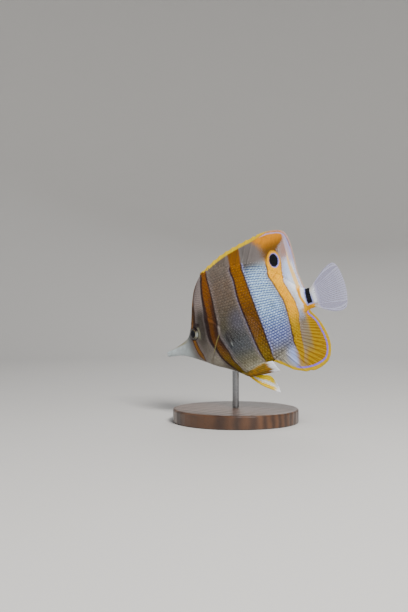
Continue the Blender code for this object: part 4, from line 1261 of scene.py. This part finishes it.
def lathe(profile, sides):
    """Points (across, across, along) and faces of a closed turned form, whose profile of (radius,
    depth) points starts and ends on its axis."""
    turns = 2 * np.pi * np.arange(sides) / sides
    inner = np.array(profile[1:-1], float)
    rings = np.stack([inner[:, None, 0] * np.cos(turns), inner[:, None, 0] * np.sin(turns),
                      np.broadcast_to(inner[:, None, 1], (len(inner), sides))], -1)
    first, last = np.array([[0, 0, profile[0][1]]]), np.array([[0, 0, profile[-1][1]]])
    points = np.concatenate([first, rings.reshape(-1, 3), last])
    faces = []
    for k in range(sides):
        after = (k + 1) % sides
        faces.append((0, 1 + k, 1 + after))
        for ring in range(len(inner) - 1):
            a, b = 1 + ring * sides + k, 1 + ring * sides + after
            faces.append((a, a + sides, b + sides, b))
        last_ring = 1 + (len(inner) - 1) * sides
        faces.append((last_ring + k, len(points) - 1, last_ring + after))
    return points, faces


def make_eye(side, iris):
    """A domed eyeball, its black pupil standing a little proud of the iris."""
    bare = body_half(np.array([EYE_X]), np.array([EYE_Z]))[0]
    step = 0.4
    slope_x = (body_half(EYE_X + step, EYE_Z) - body_half(EYE_X - step, EYE_Z)) / (2 * step)
    slope_z = (body_half(EYE_X, EYE_Z + step) - body_half(EYE_X, EYE_Z - step)) / (2 * step)
    axis = Vector((-slope_x, side, -slope_z)).normalized()
    centre = Vector((EYE_X, side * (bare + SKIN_DEPTH), EYE_Z)) - axis * EYE_INSET
    back_dir = (Vector((1, 0, 0)) - axis * axis.x).normalized()
    up_dir = axis.cross(back_dir)
    if up_dir.z < 0:
        up_dir = -up_dir
    frame = np.array([back_dir, up_dir, axis])

    def shell(radius):
        return EYE_DEPTH * math.sqrt(max(1 - (radius / EYE_RADIUS) ** 2, 0))

    rings = np.linspace(0, PUPIL_RADIUS, 8)
    profile = [(r, shell(r)) for r in rings]
    rings = np.linspace(PUPIL_RADIUS + 0.05, EYE_RADIUS - 0.1, 14)
    profile += [(r, shell(r) - 0.12 * ease((r - PUPIL_RADIUS) / 0.15)) for r in rings]
    profile += [(EYE_RADIUS - 0.05, -0.4), (3.4, -1.6), (2.0, -2.3), (0, -2.5)]
    local, faces = lathe(profile, 72)
    points = np.array(centre) + local @ frame
    radius = np.hypot(local[:, 0], local[:, 1])
    turn = np.arctan2(local[:, 1], local[:, 0])
    fields = {
        "radius": radius,
        "glint": bell((turn + 0.45) / 0.6) * (radius > 1),
        "bar": bell((turn - 1.1) / 0.85) + bell((turn + 1.9) / 0.5) + ease((np.abs(turn) - 1.9) / 0.5),
    }
    mesh = make_mesh("eye_" + HANDS[side], points, faces, fields)
    store(mesh, "spokes", np.stack([6 * np.cos(turn), 6 * np.sin(turn), 0.7 * radius], -1))
    make_piece("eyeball_" + HANDS[side], mesh, iris, "eye", "eye_" + HANDS[side])


def dress_stand():
    for node, material in (("stand_base", wood_material()), ("stand_rod", steel_material())):
        bpy.data.objects[node].material_slots[0].material = material


def make_stage():
    """A pale floor that curves up into a round wall, so that every view has the same backdrop."""
    radius, fillet, height, sides = 1.15, 0.45, 1.5, 96
    profile = [(radius - fillet, 0.0)]
    for degrees in range(6, 91, 6):
        turn = math.radians(degrees)
        profile.append((radius - fillet + fillet * math.sin(turn), fillet * (1 - math.cos(turn))))
    profile.append((radius, height))
    points = [(0, 0, 0)]
    for r, z in profile:
        points += [(r * math.cos(2 * math.pi * k / sides), r * math.sin(2 * math.pi * k / sides), z)
                   for k in range(sides)]
    faces = [(0, 1 + k, 1 + (k + 1) % sides) for k in range(sides)]
    for ring in range(len(profile) - 1):
        for k in range(sides):
            a, b = 1 + ring * sides + k, 1 + ring * sides + (k + 1) % sides
            faces.append((a, a + sides, b + sides, b))
    mesh = bpy.data.meshes.new("stage")
    mesh.from_pydata(points, [], faces)
    mesh.shade_smooth()
    mesh.materials.append(Nodes("stage").set(Base_Color=STAGE_GREY, Roughness=0.85))
    stage = bpy.data.objects.new("stage", mesh)
    bpy.context.collection.objects.link(stage)


def add_light(name, place, size, power, colour):
    """A soft square lamp aimed at the fish."""
    lamp = bpy.data.lights.new(name, "AREA")
    lamp.size = size
    lamp.energy = power
    lamp.color = colour
    obj = bpy.data.objects.new(name, lamp)
    obj.location = place
    aim = Vector((0, 0, 0.07)) - Vector(place)
    obj.rotation_euler = aim.to_track_quat("-Z", "Y").to_euler()
    bpy.context.collection.objects.link(obj)


def light_scene():
    """Key from above the tail, as in the photo, with a weak fill on the head and a sky."""
    add_light("key", (0.6, -0.34, 0.68), 0.28, 16.9, (1.0, 0.98, 0.95))
    add_light("fill", (-0.6, -0.7, 0.35), 0.6, 0.68, (0.85, 0.92, 1.0))
    add_light("rim", (-0.35, 0.7, 0.6), 0.5, 2.7, (1.0, 1.0, 1.0))
    world = bpy.data.worlds.new("studio")
    world.use_nodes = True
    sky = world.node_tree.nodes["Background"].inputs
    sky["Color"].default_value = (0.86, 0.9, 1.0, 1)
    sky["Strength"].default_value = 0.3
    bpy.context.scene.world = world


def make_camera():
    """The photo's view: level, from behind the fish's left side."""
    camera = bpy.data.cameras.new("camera")
    camera.lens = CAMERA_LENS
    camera.sensor_width = SENSOR_WIDTH
    obj = bpy.data.objects.new("camera", camera)
    obj.location = CAMERA_PLACE
    obj.rotation_euler = (math.radians(90), 0, CAMERA_HEADING)
    bpy.context.collection.objects.link(obj)
    bpy.context.scene.camera = obj


POSE = fish_pose()

make_camera()
make_skin(skin_material())
make_coat(scale_material())
median = median_fin_material()
make_median_fin("dorsal_fin", back, 1, DORSAL_START, DORSAL_END, DORSAL_OUTLINE, DORSAL_SPINES, DORSAL_RAYS,
                DORSAL_SPINE_SHARE, 0.0, median)
make_median_fin("anal_fin", belly, -1, ANAL_START, ANAL_END, ANAL_OUTLINE, ANAL_SPINES, ANAL_RAYS,
                ANAL_SPINE_SHARE, 0.75, median)
make_tail_fin(clear_fin_material(
    "tail_fin", tint=(0.31, 0.3, 0.52), root_tint=(0.53, 0.52, 0.45), low_tint=(0.53, 0.52, 0.45),
    membrane=0.34, rays=0.7, root_length=0.36, ray_shine=0.4))
# the pectoral fins' dark root is painted shade and its pale low end a painted highlight
clear = clear_fin_material(
    "pectoral_fin", tint=(0.16, 0.16, 0.15), root_tint=(0.05, 0.045, 0.045), low_tint=(0.3, 0.33, 0.33),
    membrane=0.02, rays=0.06, root_length=0.12, ray_shine=0.1)
make_pectoral_fin(-1, clear)
make_pectoral_fin(1, clear)
# painted shade: the left pelvic fin darker and browner than the right one
make_pelvic_fin(-1, LEFT_PELVIC, pelvic_material(
    "shaded_left_pelvic", bands=(0.25, 0.88), tip=0.85, root=(0.16, 0.12, 0.03), edge=(0.2, 0.09, 0.003),
    middle=(0.34, 0.17, 0.002), rear=(0.46, 0.38, 0.2), mottle=0.6))
make_pelvic_fin(1, RIGHT_PELVIC, pelvic_material(
    "right_pelvic", bands=(0.3, 0.56), tip=0.88, root=(0.85, 0.56, 0.0), edge=(1.0, 0.66, 0.0),
    middle=(0.9, 0.96, 1.0), rear=(1.0, 0.74, 0.0), mottle=0.0))
iris = eye_material()
make_eye(-1, iris)
make_eye(1, iris)
dress_stand()
make_stage()
light_scene()
